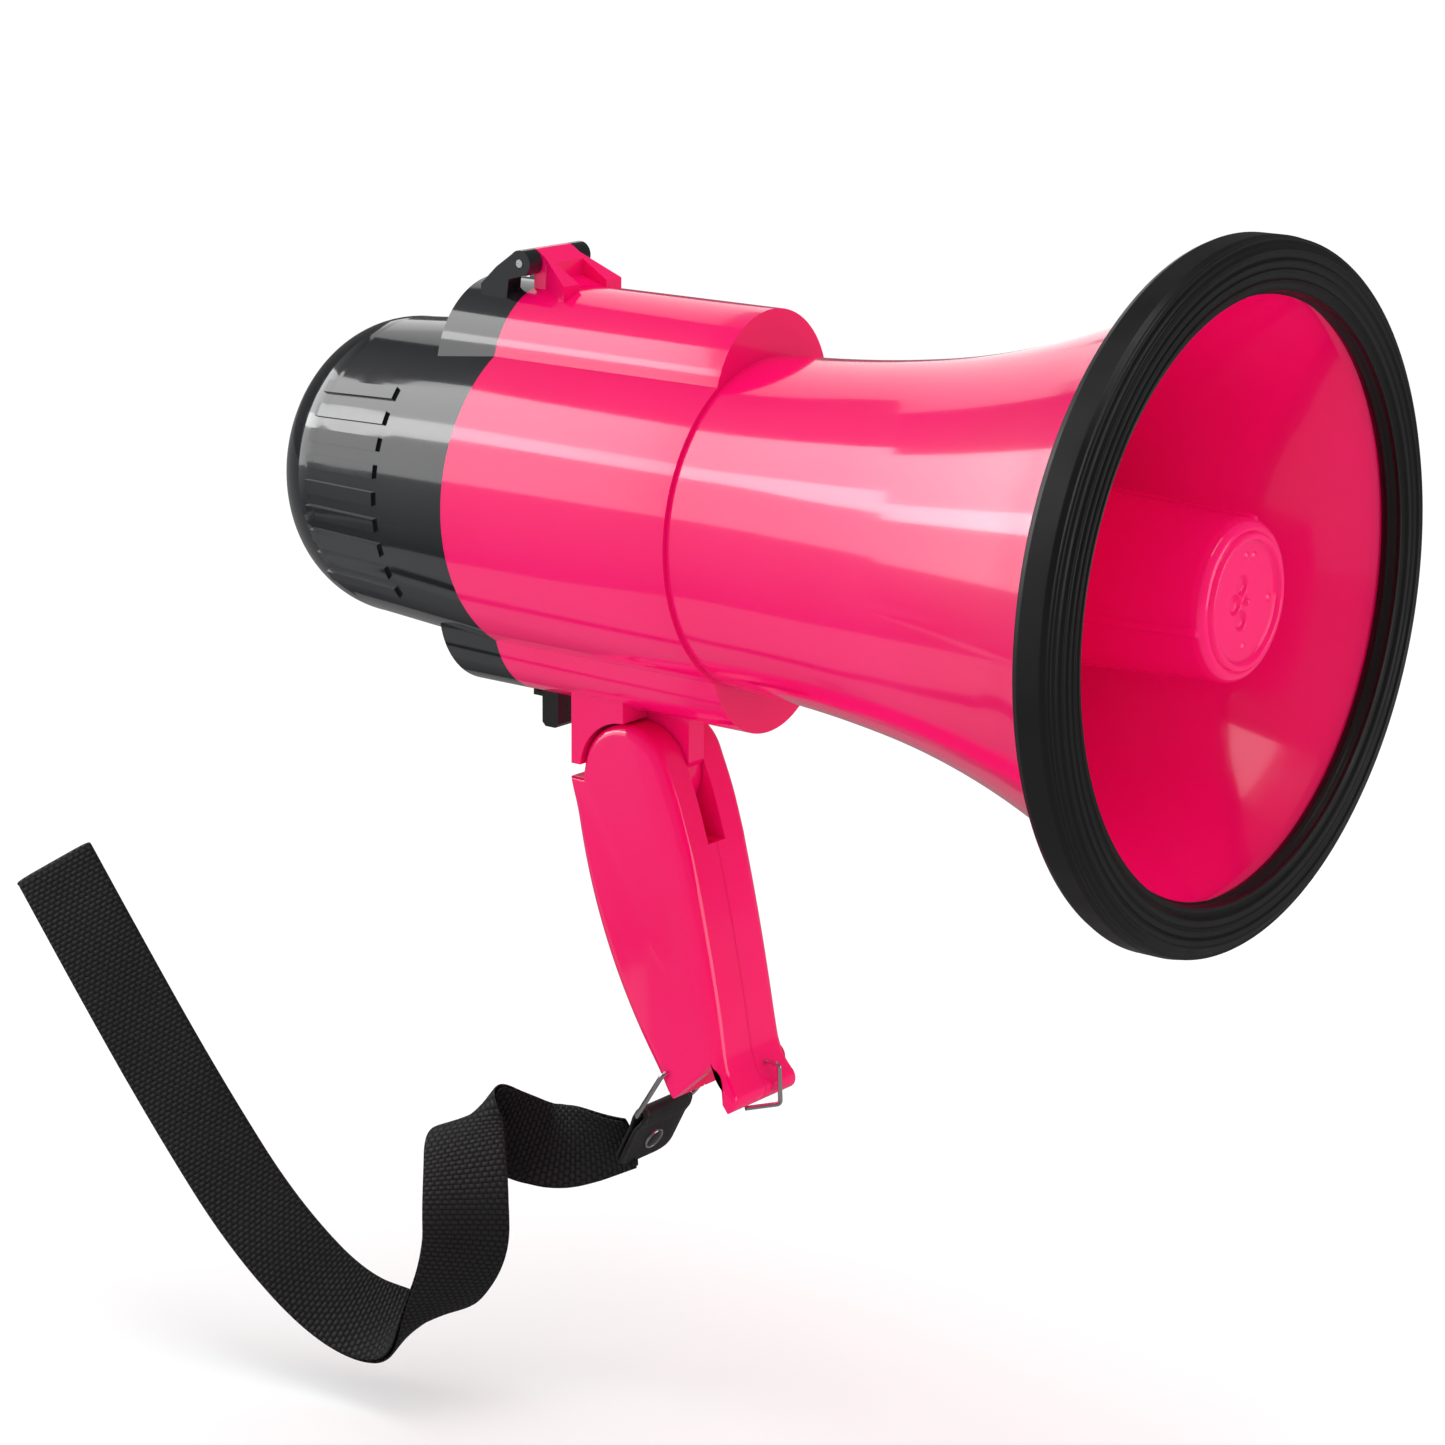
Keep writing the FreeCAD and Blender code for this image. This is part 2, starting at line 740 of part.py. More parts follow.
def cover_edges(inset):
    """The cover's outline, backwards from the joint plane: a taper, a round shoulder and a flat end."""
    top = n.body_radius - inset
    waist = n.body_radius - n.cover_taper - inset
    straight = cover_x - n.cover_straight
    round_radius = n.cover_round - inset
    centre = n.body_radius - n.cover_taper - n.cover_round
    end = cover_end + inset
    sweep = math.asin((straight - end) / round_radius)
    rim = centre + round_radius * math.cos(sweep)
    half = (
        straight - round_radius * math.sin(sweep / 2), centre + round_radius * math.cos(sweep / 2),
        0,
    )
    return [(cover_x, top, 0), (straight, waist, 0), half, (end, rim, 0), (end, 0, 0), (cover_x, 0, 0)]


def cover_bulk(inset):
    first, straight, half, rim, end, centre = cover_edges(inset)
    return turned([
        line(first, straight), arc(straight, half, rim), line(rim, end), line(end, centre),
        line(centre, first),
    ])


def lobes(radius, x_from, x_to):
    return [rod_x(radius, x_from, x_to, 0, n.axis_z + side * n.lobe_offset) for side in (1, -1)]


def grip_pads():
    """Low pads along both flanks that follow the cover's taper."""
    raised = cover_bulk(-n.pad_height)
    bars = []
    middle = (n.pads_per_side - 1) / 2
    for flank in (0, 180):
        for index in range(int(n.pads_per_side)):
            bar = Part.makeBox(n.pad_length, n.body_radius + 4, n.pad_width,
                               Vector(cover_x - n.pad_start - n.pad_length, 0, -n.pad_width / 2))
            bar.rotate(Vector(0, 0, 0), Vector(1, 0, 0), flank + (index - middle) * n.pad_pitch)
            bar.translate(Vector(0, 0, n.axis_z))
            bars.append(bar)
    return raised.common(Part.makeCompound(bars))


def cover_knuckles():
    """Two hinge knuckles on arms that rise from the cover's upper lobe."""
    z = float(hinge_z)
    start = n.barrel_half + n.slide_gap
    stop = start + n.knuckle_length
    low = n.axis_z + n.lobe_offset + n.lobe_radius - 6.0
    pieces = []
    for y_from, y_to in ((start, stop), (-stop, -start)):
        eye = rod_y(n.knuckle_radius, y_from, y_to, cover_x, z)
        outline = [
            (cover_x - 12.5, low), (cover_x - 4.5, low), (cover_x - 3.6, z - 4.2),
            (cover_x + 1.2, z - 2.9), (cover_x - 1.6, z + 2.7), (cover_x - 7.5, z - 1.4),
            (cover_x - 12.5, z - 6.0),
        ]
        arm = prism(outline, y_from, y_to)
        pieces.append(eye.fuse(arm))
    return pieces


def control_spot(angle):
    turn = math.radians(angle)
    return n.control_circle * math.cos(turn), n.axis_z + n.control_circle * math.sin(turn)


knob_y, knob_z = control_spot(45)
switch_y, switch_z = control_spot(145)
button_y, button_z = control_spot(270)


def rear_cover():
    skin = cover_bulk(0).fuse(lobes(n.lobe_radius, cover_x - n.cover_lobe_length, cover_x))
    skin = skin.fuse(grip_pads()).fuse(cover_knuckles())
    cavity = cover_bulk(n.cover_wall).fuse(
        lobes(n.lobe_radius - n.cover_wall, cover_x - n.cover_lobe_length + n.cover_wall, cover_x))
    cavity = cavity.cut(Part.makeCompound(boss_webs(n.cover_wall)))
    holes = [
        rod_x(n.grille_radius, cover_end - 1, cover_end + 4, 0, n.axis_z),
        rod_x(3.2, cover_end - 1, cover_end + 4, knob_y, knob_z),
        rod_x(n.button_radius + n.slide_gap, cover_end - 1, cover_end + 4, button_y, button_z),
        Part.makeBox(
            5, 3.6, n.switch_travel + 4.4,
            Vector(cover_end - 1, switch_y - 1.8, switch_z - n.switch_travel / 2 - 2.2),
        ),
        rod_y(n.hinge_pin_radius + 0.02, -20, 20, cover_x, float(hinge_z)),
        Part.makeBox(
            2.0, 2 * barb_half + 0.6, 2.2, Vector(cover_x - 4.0, -barb_half - 0.3, lobe_foot - 1.0),
        ),
    ]
    holes += [rod_x(n.screw_radius, cover_x - 14, cover_x, y, n.axis_z) for y in boss_places()]
    return skin.cut(cavity).cut(Part.makeCompound(holes)).removeSplitter()


def boss_places():
    reach = n.body_radius - n.cover_wall - 6.0
    return (reach, -reach)


def boss_webs(inset):
    """The screw bosses inside the cover, each with a web out to the wall."""
    webs = []
    for y in boss_places():
        boss = rod_x(n.post_radius, cover_x - 18, cover_x - 3.2, y, n.axis_z)
        side = 1 if y > 0 else -1
        web = Part.makeBox(14.8, 8, 2, Vector(cover_x - 18, min(y, y + side * 8), n.axis_z - 1))
        webs.append(boss.fuse(web))
    return webs


keep(feature("cover", rear_cover()), "rear_cover")

plate_x = joint_plane - 3.0
plate = lobed(
    "plate", inner_radius - d.seat_gap - 0.4, d.lobe_radius - d.wall - d.seat_gap, plate_x, 2.4,
)
post_circle = 25.0
board_x = cover_x - 30.0


def plate_posts():
    posts = []
    for angle in (90, 210, 330):
        y = post_circle * math.cos(math.radians(angle))
        z = n.axis_z + post_circle * math.sin(math.radians(angle))
        posts.append(rod_x(n.post_radius, board_x + 1.6, float(plate_x), y, z).cut(
            rod_x(n.screw_radius, board_x, board_x + 9, y, z)))
    return Part.makeCompound(posts)


plate_bores = [
    cylinder(f"plate_hole_{index}", d.screw_radius, 4, plate_x - 0.5, y, d.axis_z)
    for index, y in enumerate(boss_places())
]
plate_holes = fuse("plate_holes", *plate_bores)
keep(
    cut("inner_plate", fuse("plate_with_posts", plate, feature("posts", plate_posts())), plate_holes),
    "cover_plate",
)
rear_contact_x = float(plate_x) + 2.4
keep(
    feature("rear_set", contact_set(rear_contact_x, float(cell_rear) - 0.1, rear_contact_x)),
    "cover_contacts",
)


def screws_along_x(places, x_head, length, way):
    """Pan-head screws at (y, z) places, with their heads at x_head; way is 1 or -1 along X."""
    group = []
    for y, z in places:
        foot = Vector(x_head, y, z)
        shank = Part.makeCylinder(n.screw_radius, length, foot, Vector(way, 0, 0))
        head = Part.makeCylinder(2.2, 1.2, foot, Vector(-way, 0, 0))
        group.append(shank.fuse(head))
    return Part.makeCompound(group)


keep(
    feature(
        "plate_fixings",
        screws_along_x([(y, n.axis_z) for y in boss_places()], rear_contact_x, 12, -1),
    ),
    "plate_screws",
)

board_places = []
for turn in (math.radians(angle) for angle in (90, 210, 330)):
    board_places.append((post_circle * math.cos(turn), n.axis_z + post_circle * math.sin(turn)))
board = rod_x(31.0, board_x, board_x + 1.6, 0, n.axis_z)
for y, z in board_places:
    board = board.cut(rod_x(n.screw_radius, board_x - 1, board_x + 3, y, z))
keep(feature("board", board), "amplifier_board")
keep(feature("board_fixings", screws_along_x(board_places, board_x, 8, 1)), "board_screws")
keep(feature("board_load", Part.makeCompound([
    rod_x(4.0, board_x - 11, board_x, -12, n.axis_z + 4),
    rod_x(4.0, board_x - 11, board_x, -12, n.axis_z - 6),
    Part.makeBox(12, 14, 16, Vector(board_x - 12, 4, n.axis_z - 6)),
    Part.makeBox(9, 10, 4, Vector(board_x - 9, -5, n.axis_z - 18)),
])), "board_components")


# ---------------------------------------------------------------- microphone and controls

inside_end = cover_end + n.cover_wall


def microphone_grille():
    disc = rod_x(n.grille_radius, cover_end - 0.6, cover_end + 1.2, 0, n.axis_z)
    holes = []
    for circle, count in ((0.0, 1), (2.6, 6), (5.2, 12), (7.6, 18)):
        for index in range(count):
            angle = 2 * math.pi * index / count
            holes.append(
                rod_x(
                    0.7, cover_end - 2, cover_end + 3, circle * math.cos(angle),
                    n.axis_z + circle * math.sin(angle),
                )
            )
    return disc.cut(Part.makeCompound(holes))


keep(feature("grille", microphone_grille()), "microphone_grille")
boot_outline = [
    (0, d.mic_radius), (0, d.grille_radius + 2.0), (1.2, d.grille_radius + 2.0),
    (1.2, d.mic_radius + 1.6), (7.0, d.mic_radius + 1.6), (7.0, d.mic_radius),
]
end_plane = joint_plane - d.cover_length
keep(revolved_body("boot", boot_outline, end_plane + d.cover_wall), "microphone_boot")
keep(
    cylinder("capsule", d.mic_radius, 6.7, end_plane + d.cover_wall, 0, d.axis_z),
    "microphone_capsule",
)

pot = rod_x(7.0, inside_end, inside_end + 6, knob_y, knob_z).cut(
    rod_x(3.1, inside_end - 1, inside_end + 4.6, knob_y, knob_z)
)
keep(feature("pot", pot), "volume_pot")
keep(
    feature("shaft", rod_x(3.0, cover_end - n.knob_height + 1.5, inside_end + 4.4, knob_y, knob_z)),
    "volume_shaft",
)


def volume_knob():
    """A thumb knob with a fluted edge and a pointer line."""
    back = cover_end - 0.4
    front = back - n.knob_height
    knob = rod_x(n.knob_radius, front, back, knob_y, knob_z)
    flutes = [rod_x(0.7, front - 1, back + 1, knob_y + (n.knob_radius + 0.3) * math.cos(math.pi * step / 9),
                    knob_z + (n.knob_radius + 0.3) * math.sin(math.pi * step / 9)) for step in range(18)]
    pointer = Part.makeBox(0.6, 0.8, n.knob_radius, Vector(front - 0.1, knob_y - 0.4, knob_z + 1.0))
    socket = rod_x(3.0, cover_end - n.knob_height + 1.5, back + 1, knob_y, knob_z)
    return knob.cut(Part.makeCompound(flutes + [pointer, socket]))


keep(feature("knob", volume_knob()), "volume_knob")

switch_low = switch_z - n.switch_travel / 2
switch_body = Part.makeBox(
    5, 7, n.switch_travel + 8, Vector(inside_end + 1.8, switch_y - 3.5, switch_low - 4),
)
switch_feet = [Part.makeBox(1.9, 7, 1.6, Vector(inside_end, switch_y - 3.5, z))
               for z in (switch_low - 4, switch_low + n.switch_travel + 2.4)]
keep(feature("switch", switch_body.fuse(switch_feet).removeSplitter()), "mode_switch")
slider = Part.makeBox(4.6, 3.2, 4.0, Vector(cover_end - 2.6, switch_y - 1.6, switch_low - 2.0))
slider = slider.fuse(
    Part.makeBox(1.4, 5.4, 4.0, Vector(inside_end + 0.2, switch_y - 2.7, switch_low - 2.0))
)
slider = slider.fuse(
    Part.makeBox(1.0, 3.2, 4.0, Vector(inside_end - 0.4, switch_y - 1.6, switch_low - 2.0))
)
keep(feature("slider", slider.removeSplitter()), "mode_slider")

button = rod_x(n.button_radius, cover_end - 2.6, inside_end + 0.2, button_y, button_z)
button = button.fuse(
    rod_x(n.button_radius + 1.2, inside_end + 0.1, inside_end + 1.1, button_y, button_z)
)
keep(feature("talk", button.removeSplitter()), "talk_button")
spring_start = inside_end + 1.2
spring_end = inside_end + 1.1 + n.button_travel + 1.2
keep(feature("talk_spring", rod_x(3.4, spring_start, spring_end, button_y, button_z).cut(
    rod_x(2.6, spring_start - 1, spring_end + 1, button_y, button_z))), "talk_spring")


def talk_switch():
    """The push switch on a yoke whose two legs stand on the inside of the cover's end."""
    back = spring_end + 0.1
    leg_inner = n.button_radius + 1.9
    leg_outer = leg_inner + 1.6
    pieces = [Part.makeBox(5, 11, 7, Vector(back, button_y - 5.5, button_z - 3.5)),
              Part.makeBox(1.6, 2 * leg_outer, 4, Vector(back, button_y - leg_outer, button_z - 2))]
    for y in (button_y + leg_inner, button_y - leg_outer):
        pieces.append(
            Part.makeBox(
                back + 1.6 - inside_end, leg_outer - leg_inner, 4,
                Vector(inside_end, y, button_z - 2),
            )
        )
    return pieces[0].fuse(pieces[1:]).removeSplitter()


keep(feature("talk_contact", talk_switch()), "talk_switch")


# ---------------------------------------------------------------- hinge pin and latch

pin_half = d.barrel_half + d.slide_gap + d.knuckle_length + 0.2
keep(
    cylinder("hinge_rod", d.hinge_pin_radius, 2 * pin_half, joint_plane, -pin_half, hinge_z, "y"),
    "hinge_pin",
)


def cover_latch():
    """A thumb tab on two trunnions in the housing's lower lobe; its barb stands in the cover's notch."""
    x = cover_x + 0.3
    low = lobe_foot - n.latch_drop
    half = n.latch_width / 2
    tab = prism([(x, lobe_foot + 2.8), (x, low + 1.0), (x + 1.0, low), (x + n.latch_length - 1.0, low),
                 (x + n.latch_length, low + 1.0), (x + n.latch_length, lobe_foot + 2.8)], -half, half)
    hook = [
        (x - 3.7, lobe_foot - 1.7), (x - 3.7, lobe_foot + 0.8), (x - 2.9, lobe_foot + 0.8),
        (x - 2.5, lobe_foot - 0.5), (x, lobe_foot - 0.5), (x, lobe_foot - 1.7),
    ]
    barb = prism(hook, -barb_half, barb_half)
    reach = half + n.latch_pin_reach
    trunnions = rod_y(n.latch_pin_radius, -reach, reach, latch_pin_x, latch_pin_z)
    return tab.fuse([barb, trunnions]).removeSplitter()


keep(feature("latch", cover_latch()), "cover_latch")


# ---------------------------------------------------------------- folding handle

heel_z = n.pivot_z - n.handle_drop
lean_top = math.radians(25)


def handle_edges(inset):
    """The side outline: a round top on the pivot, an arched back and front, open at the foot."""
    px = n.pivot_x
    pz = n.pivot_z
    radius = n.cheek_radius - inset
    shoulder_z = pz - 2.5 - inset
    back = [
        (px - 16.8 + inset, shoulder_z), (px - 6.2 + inset, pz - 0.545 * n.handle_drop),
        (px + 14.2 + inset, heel_z + 2.0),
    ]
    front = [
        (px + 15.6 - inset, pz - 3.5), (px + 25.1 - inset, pz - 0.466 * n.handle_drop),
        (px + 31.0 - inset, pz - 0.83 * n.handle_drop),
    ]
    onto = (px + radius * math.cos(lean_top), pz + radius * math.sin(lean_top))
    step = (px - math.sqrt(radius ** 2 - (pz - shoulder_z) ** 2), shoulder_z)
    crown = (px, pz + radius)
    return back, front, onto, step, crown


def flat(point):
    return (point[0], 0, point[1])


def smooth(points, start_way):
    """A spline through the points that leaves the first one along start_way."""
    spots = [Vector(*point) for point in points]
    spline = Part.BSplineCurve()
    end_way = (spots[-1] - spots[-2]).normalize()
    spline.interpolate(Points=spots, InitialTangent=Vector(*start_way), FinalTangent=end_way)
    return spline.toShape()


def handle_face(inset):
    """The outline closed by the foot: the whole foot outside, a plain line above the arch inside."""
    back, front, onto, step, crown = handle_edges(inset)
    edges = [
        line(flat(back[0]), flat(step)),
        arc(flat(step), flat(crown), flat(onto)),
        smooth([flat(point) for point in [onto] + front], (math.sin(lean_top), 0, -math.cos(lean_top))),
    ]
    if inset:
        heel = (n.pivot_x + 15.0, heel_z + 8.0)
        brow = (n.pivot_x + 25.5, heel_z + 15.5)
        edges += [
            line(flat(front[2]), flat(brow)), line(flat(brow), flat(heel)),
            line(flat(heel), flat(back[2])),
        ]
    else:
        toe = [
            (n.pivot_x + 34.6, heel_z + 6.4), (n.pivot_x + 35.6, heel_z + 3.2),
            (n.pivot_x + 33.6, heel_z + 0.6),
        ]
        toe_back = (n.pivot_x + 31.8, heel_z + 2.6)
        arch = [
            (n.pivot_x + 31.0, heel_z + 8.0), (n.pivot_x + 28.6, heel_z + 11.0),
            (n.pivot_x + 25.6, heel_z + 9.0),
        ]
        heel_front = (n.pivot_x + 16.4, heel_z + 0.6)
        edges += [
            line(flat(front[2]), flat(toe[0])), arc(*[flat(point) for point in toe]),
            line(flat(toe[2]), flat(toe_back)),
            line(flat(toe_back), flat(arch[0])), arc(*[flat(point) for point in arch]),
            line(flat(arch[2]), flat(heel_front)),
            line(flat(heel_front), flat(back[2])),
        ]
    edges.append(arc(flat(back[2]), flat(back[1]), flat(back[0])))
    return Part.Face(Part.Wire(Part.__sortEdges__(edges)))


post_places = [
    (n.pivot_x - 6.0, n.pivot_z - 0.292 * n.handle_drop),
    (n.pivot_x + 18.0, n.pivot_z - 0.422 * n.handle_drop),
    (n.pivot_x + 19.5, n.pivot_z - 0.745 * n.handle_drop),
]
ring_eye = (n.pivot_x + 14.6, heel_z + 7.1)
head_depth = 7.0
toe_wire_radius = 0.6
staple_y = 4.0
staple_z = heel_z + 9.6


def back_rims(skin):
    """The long arched edges at the back of both cheeks, where the palm lies."""
    return [edge for edge in skin.Edges if edge.BoundBox.YLength < 1e-6
            and edge.BoundBox.XMin < n.pivot_x - 16 and edge.BoundBox.ZLength > n.handle_drop / 2]


def handle_solid():
    """Both shells as one piece, before they are parted: walls, pivot bosses, screw posts and slot."""
    half = n.handle_half
    skin = handle_face(0).extrude(Vector(0, 2 * half, 0))
    skin.translate(Vector(0, -half, 0))
    skin = skin.makeFillet(n.handle_edge, back_rims(skin))
    depth = half - n.handle_wall
    cavity = handle_face(n.handle_wall).extrude(Vector(0, 2 * depth, 0))
    cavity.translate(Vector(0, -depth, 0))
    gap = n.tongue_half + n.tongue_gap
    supports = [rod_y(n.pivot_pin_radius + 3.6, -depth - 0.2, -gap, n.pivot_x, n.pivot_z),
                rod_y(n.pivot_pin_radius + 3.6, gap, depth + 0.2, n.pivot_x, n.pivot_z)]
    supports += [rod_y(n.post_radius, -depth - 0.2, depth + 0.2, x, z) for x, z in post_places]
    reach = n.tongue_radius + n.tongue_gap
    slot = [
        Part.makeBox(60, 2 * gap, 40, Vector(n.pivot_x - 30, -gap, n.pivot_z - 2.5)),
        Part.makeBox(40, 2 * gap, n.slot_drop, Vector(n.pivot_x, -gap, n.pivot_z - n.slot_drop)),
        rod_y(reach, -gap, gap, n.pivot_x, n.pivot_z),
    ]
    cuts = slot + [
        rod_y(n.pivot_pin_radius, -depth, half + 1, n.pivot_x, n.pivot_z),
        rod_y(n.pivot_pin_radius + 1.9, half - 2.6, half + 1, n.pivot_x, n.pivot_z),
        rod_y(n.ring_wire / 2 + 0.1, -half - 1, half + 1, ring_eye[0], ring_eye[1]),
        rod_x(toe_wire_radius + 0.05, n.pivot_x + 20, n.pivot_x + 40, staple_y, staple_z),
    ]
    for x, z in post_places:
        cuts.append(rod_y(n.screw_radius, -head_depth - 1.0, half + 1, x, z))
        cuts.append(rod_y(2.4, head_depth, half + 1, x, z))
    return skin.cut(cavity).fuse(supports).cut(Part.makeCompound(cuts)).removeSplitter()


whole_handle = handle_solid()
far = 200


def handle_half(side):
    y = 0 if side > 0 else -far
    return whole_handle.common(Part.makeBox(2 * far, far, 2 * far, Vector(-far, y, -far)))


keep(feature("shell_right", handle_half(-1)), "handle_shell_right")
keep(feature("shell_left", handle_half(1)), "handle_shell_left")

pin_tail = n.handle_half - n.handle_wall
pivot = rod_y(n.pivot_pin_radius, -pin_tail + 0.2, n.handle_half - 2.6, n.pivot_x, n.pivot_z)
pivot = pivot.fuse(
    rod_y(n.pivot_pin_radius + 1.7, n.handle_half - 2.6, n.handle_half - 0.8, n.pivot_x, n.pivot_z)
)
keep(feature("pivot", pivot.removeSplitter()), "pivot_pin")
handle_fixings = []
for x, z in post_places:
    shank = rod_y(n.screw_radius, -head_depth, head_depth, x, z)
    handle_fixings.append(shank.fuse(rod_y(2.2, head_depth, head_depth + 1.3, x, z)))
keep(feature("handle_fixings", Part.makeCompound(handle_fixings)), "handle_screws")

staple_points = [
    (n.pivot_x + 27.0, staple_y, staple_z), (n.pivot_x + 36.6, staple_y, staple_z),
    (n.pivot_x + 37.2, staple_y, heel_z - 0.6), (n.pivot_x + 32.4, -staple_y, heel_z - 0.6),
]
keep(feature("staple", wire_tube(staple_points, toe_wire_radius, 0.9)), "toe_wire")


# ---------------------------------------------------------------- strap ring, tab and strap

lean = math.radians(n.ring_angle)
bar_x = ring_eye[0] - n.ring_drop * math.sin(lean)
bar_z = ring_eye[1] - n.ring_drop * math.cos(lean)
eye_half = n.handle_half + n.ring_wire / 2 + 0.5
inside_half = n.handle_half - n.handle_wall - 0.6
ring_points = [
    (ring_eye[0], -inside_half, ring_eye[1]), (ring_eye[0], -eye_half - 0.6, ring_eye[1]),
    (bar_x, -n.ring_half, bar_z), (bar_x, n.ring_half, bar_z),
    (ring_eye[0], eye_half + 0.6, ring_eye[1]), (ring_eye[0], inside_half, ring_eye[1]),
]
keep(feature("ring", wire_tube(ring_points, n.ring_wire / 2, 1.3)), "strap_ring")

tab_lean = math.radians(27.0)
tab_way = Vector(-math.sin(tab_lean), 0, -math.cos(tab_lean))
tab_side = Vector(math.cos(tab_lean), 0, -math.sin(tab_lean))
wire_room = n.ring_wire / 2 + 0.05


def tab_outline():
    """The tab seen from its edge: two layers that run down from a loop round the ring's bar."""
    bar = Vector(bar_x, 0, bar_z)
    outer = wire_room + n.tab_layer

    def spot(along, across):
        place = bar + tab_way * along + tab_side * across
        return (place.x, -n.tab_width / 2, place.z)

    loop = Part.Wire([
        arc(spot(0, -outer), spot(-outer, 0), spot(0, outer)),
        line(spot(0, outer), spot(3.5, n.tab_layer)),
        line(spot(3.5, n.tab_layer), spot(n.tab_length, n.tab_layer)),
        line(spot(n.tab_length, n.tab_layer), spot(n.tab_length, -n.tab_layer)),
        line(spot(n.tab_length, -n.tab_layer), spot(3.5, -n.tab_layer)),
        line(spot(3.5, -n.tab_layer), spot(0, -outer)),
    ])
    return Part.Face(loop)


tab = tab_outline().extrude(Vector(0, n.tab_width, 0)).cut(rod_y(wire_room, -30, 30, bar_x, bar_z))
keep(feature("tab", tab), "strap_tab")


def tab_rivet():
    """A press stud through the tab: a domed cap on each face."""
    centre = Vector(bar_x, 0, bar_z) + tab_way * (n.tab_length - 6.0)
    caps = []
    for side in (1, -1):
        face = centre + tab_side * (side * n.tab_layer)
        caps.append(Part.makeCone(3.1, 2.5, 0.8, face, tab_side * side))
    return Part.makeCompound(caps)


keep(feature("rivet", tab_rivet()), "tab_rivet")

# the strap's middle line, measured from the ring's bar, from the tab to the flattened loop's far end
STRAP_FROM_BAR = [
    (-6.346, -5.5, -10.166),
    (-22.346, -12.0, -13.666),
    (-36.146, -15.0, -12.866),
    (-45.346, -25.0, -4.166),
    (-33.046, -38.5, -19.266),
    (-31.946, -40.0, -37.966),
    (-46.746, -39.4, -60.866),
    (-68.846, -43.8, -62.066),
    (-94.046, -48.7, -41.966),
    (-117.346, -51.9, -13.266),
    (-138.546, -55.5, 17.134),
    (-159.746, -57.4, 46.234),
]
strap_route = [(bar_x + x, y, bar_z + z) for x, y, z in STRAP_FROM_BAR]


def strap_bends(points):
    """The largest tangent arc that each corner's two runs allow."""
    spots = [Vector(*point) for point in points]
    bends = []
    for before, corner, after in zip(spots, spots[1:], spots[2:]):
        shorter = min((corner - before).Length, (after - corner).Length)
        turn = math.pi - (before - corner).getAngle(after - corner)
        bends.append(0.45 * shorter / math.tan(turn / 2))
    return bends


bends = strap_bends(strap_route)
print("strap arc radii:", [round(bend, 1) for bend in bends])
strap_path = bent_path(strap_route, bends)


def wrist_strap():
    """The two layers as one flat band, carried along the route."""
    first = Vector(*strap_route[0])
    way = (Vector(*strap_route[1]) - first).normalize()
    wide = way.cross(Vector(1, 0.35, 0)).normalize()
    thick = way.cross(wide).normalize()
    corners = []
    for across, up in ((-1, -1), (1, -1), (1, 1), (-1, 1)):
        corners.append(first + wide * (across * n.band_width / 2) + thick * (up * n.band_thickness / 2))
    section = Part.makePolygon(corners + corners[:1])
    return strap_path.makePipeShell([section], True, False)


strap = wrist_strap()
expected = strap_path.Length * n.band_width * n.band_thickness
print(
    f"strap length {strap_path.Length:.1f}, volume {strap.Volume:.0f}, section times length {expected:.0f}"
)
keep(feature("strap", strap), "wrist_strap")


def all_sound():
    """Raises if any object of the document failed or any sub-part has no valid solid."""
    for thing in doc.Objects:
        if "Invalid" in thing.State or "Error" in thing.State:
            raise RuntimeError(f"{thing.Name} failed: {thing.State}")
    for part in parts:
        if part.Shape.isNull() or not part.Shape.isValid() or part.Shape.Volume <= 0:
            raise RuntimeError(f"{part.Label} has no valid shape")


doc.recompute()
all_sound()
os.makedirs("parts", exist_ok=True)
for part in parts:
    part.Shape.exportStep(f"parts/{part.Label}.step")
    print(f"{part.Label}: {len(part.Shape.Solids)} solids, {part.Shape.Volume / 1000:.2f} cm3")
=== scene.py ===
import math
import bmesh
import bpy
import numpy as np
from mathutils import Matrix, Vector


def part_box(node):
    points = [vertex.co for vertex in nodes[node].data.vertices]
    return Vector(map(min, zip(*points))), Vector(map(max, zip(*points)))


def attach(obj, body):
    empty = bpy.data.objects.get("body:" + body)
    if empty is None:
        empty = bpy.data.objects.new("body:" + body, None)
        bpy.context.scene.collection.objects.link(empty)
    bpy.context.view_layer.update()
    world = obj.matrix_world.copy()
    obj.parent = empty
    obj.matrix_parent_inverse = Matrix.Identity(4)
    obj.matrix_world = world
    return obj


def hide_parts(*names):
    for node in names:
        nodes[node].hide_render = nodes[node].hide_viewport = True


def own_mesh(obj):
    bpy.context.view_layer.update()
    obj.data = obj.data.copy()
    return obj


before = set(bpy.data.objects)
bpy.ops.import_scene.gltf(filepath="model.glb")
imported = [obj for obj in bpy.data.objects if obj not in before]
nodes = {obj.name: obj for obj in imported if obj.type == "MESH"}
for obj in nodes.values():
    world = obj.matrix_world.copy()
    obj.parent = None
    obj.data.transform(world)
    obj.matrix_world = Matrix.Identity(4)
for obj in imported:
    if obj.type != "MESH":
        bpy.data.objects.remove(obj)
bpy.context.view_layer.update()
scene = bpy.context.scene


# ---------------------------------------------------------------- camera
# A long lens a metre off the horn's front right, a little above it, which shows
# the flank, the mouth and the front of the grip at once.

camera_data = bpy.data.cameras.new("camera")
camera_data.lens = 96.23
camera_data.sensor_width = 36.0
camera = bpy.data.objects.new("camera", camera_data)
scene.collection.objects.link(camera)
to_the_right = Vector((0.790353, 0.612593, 0.008461))
upwards = Vector((-0.162533, 0.196340, 0.966971))
backwards = Vector((0.590698, -0.765625, 0.254743))
turn = Matrix((to_the_right, upwards, backwards)).transposed()
camera.matrix_world = Matrix.Translation((0.57077, -0.72159, 0.29163)) @ turn.to_4x4()
scene.camera = camera
scene.view_settings.view_transform = "Standard"


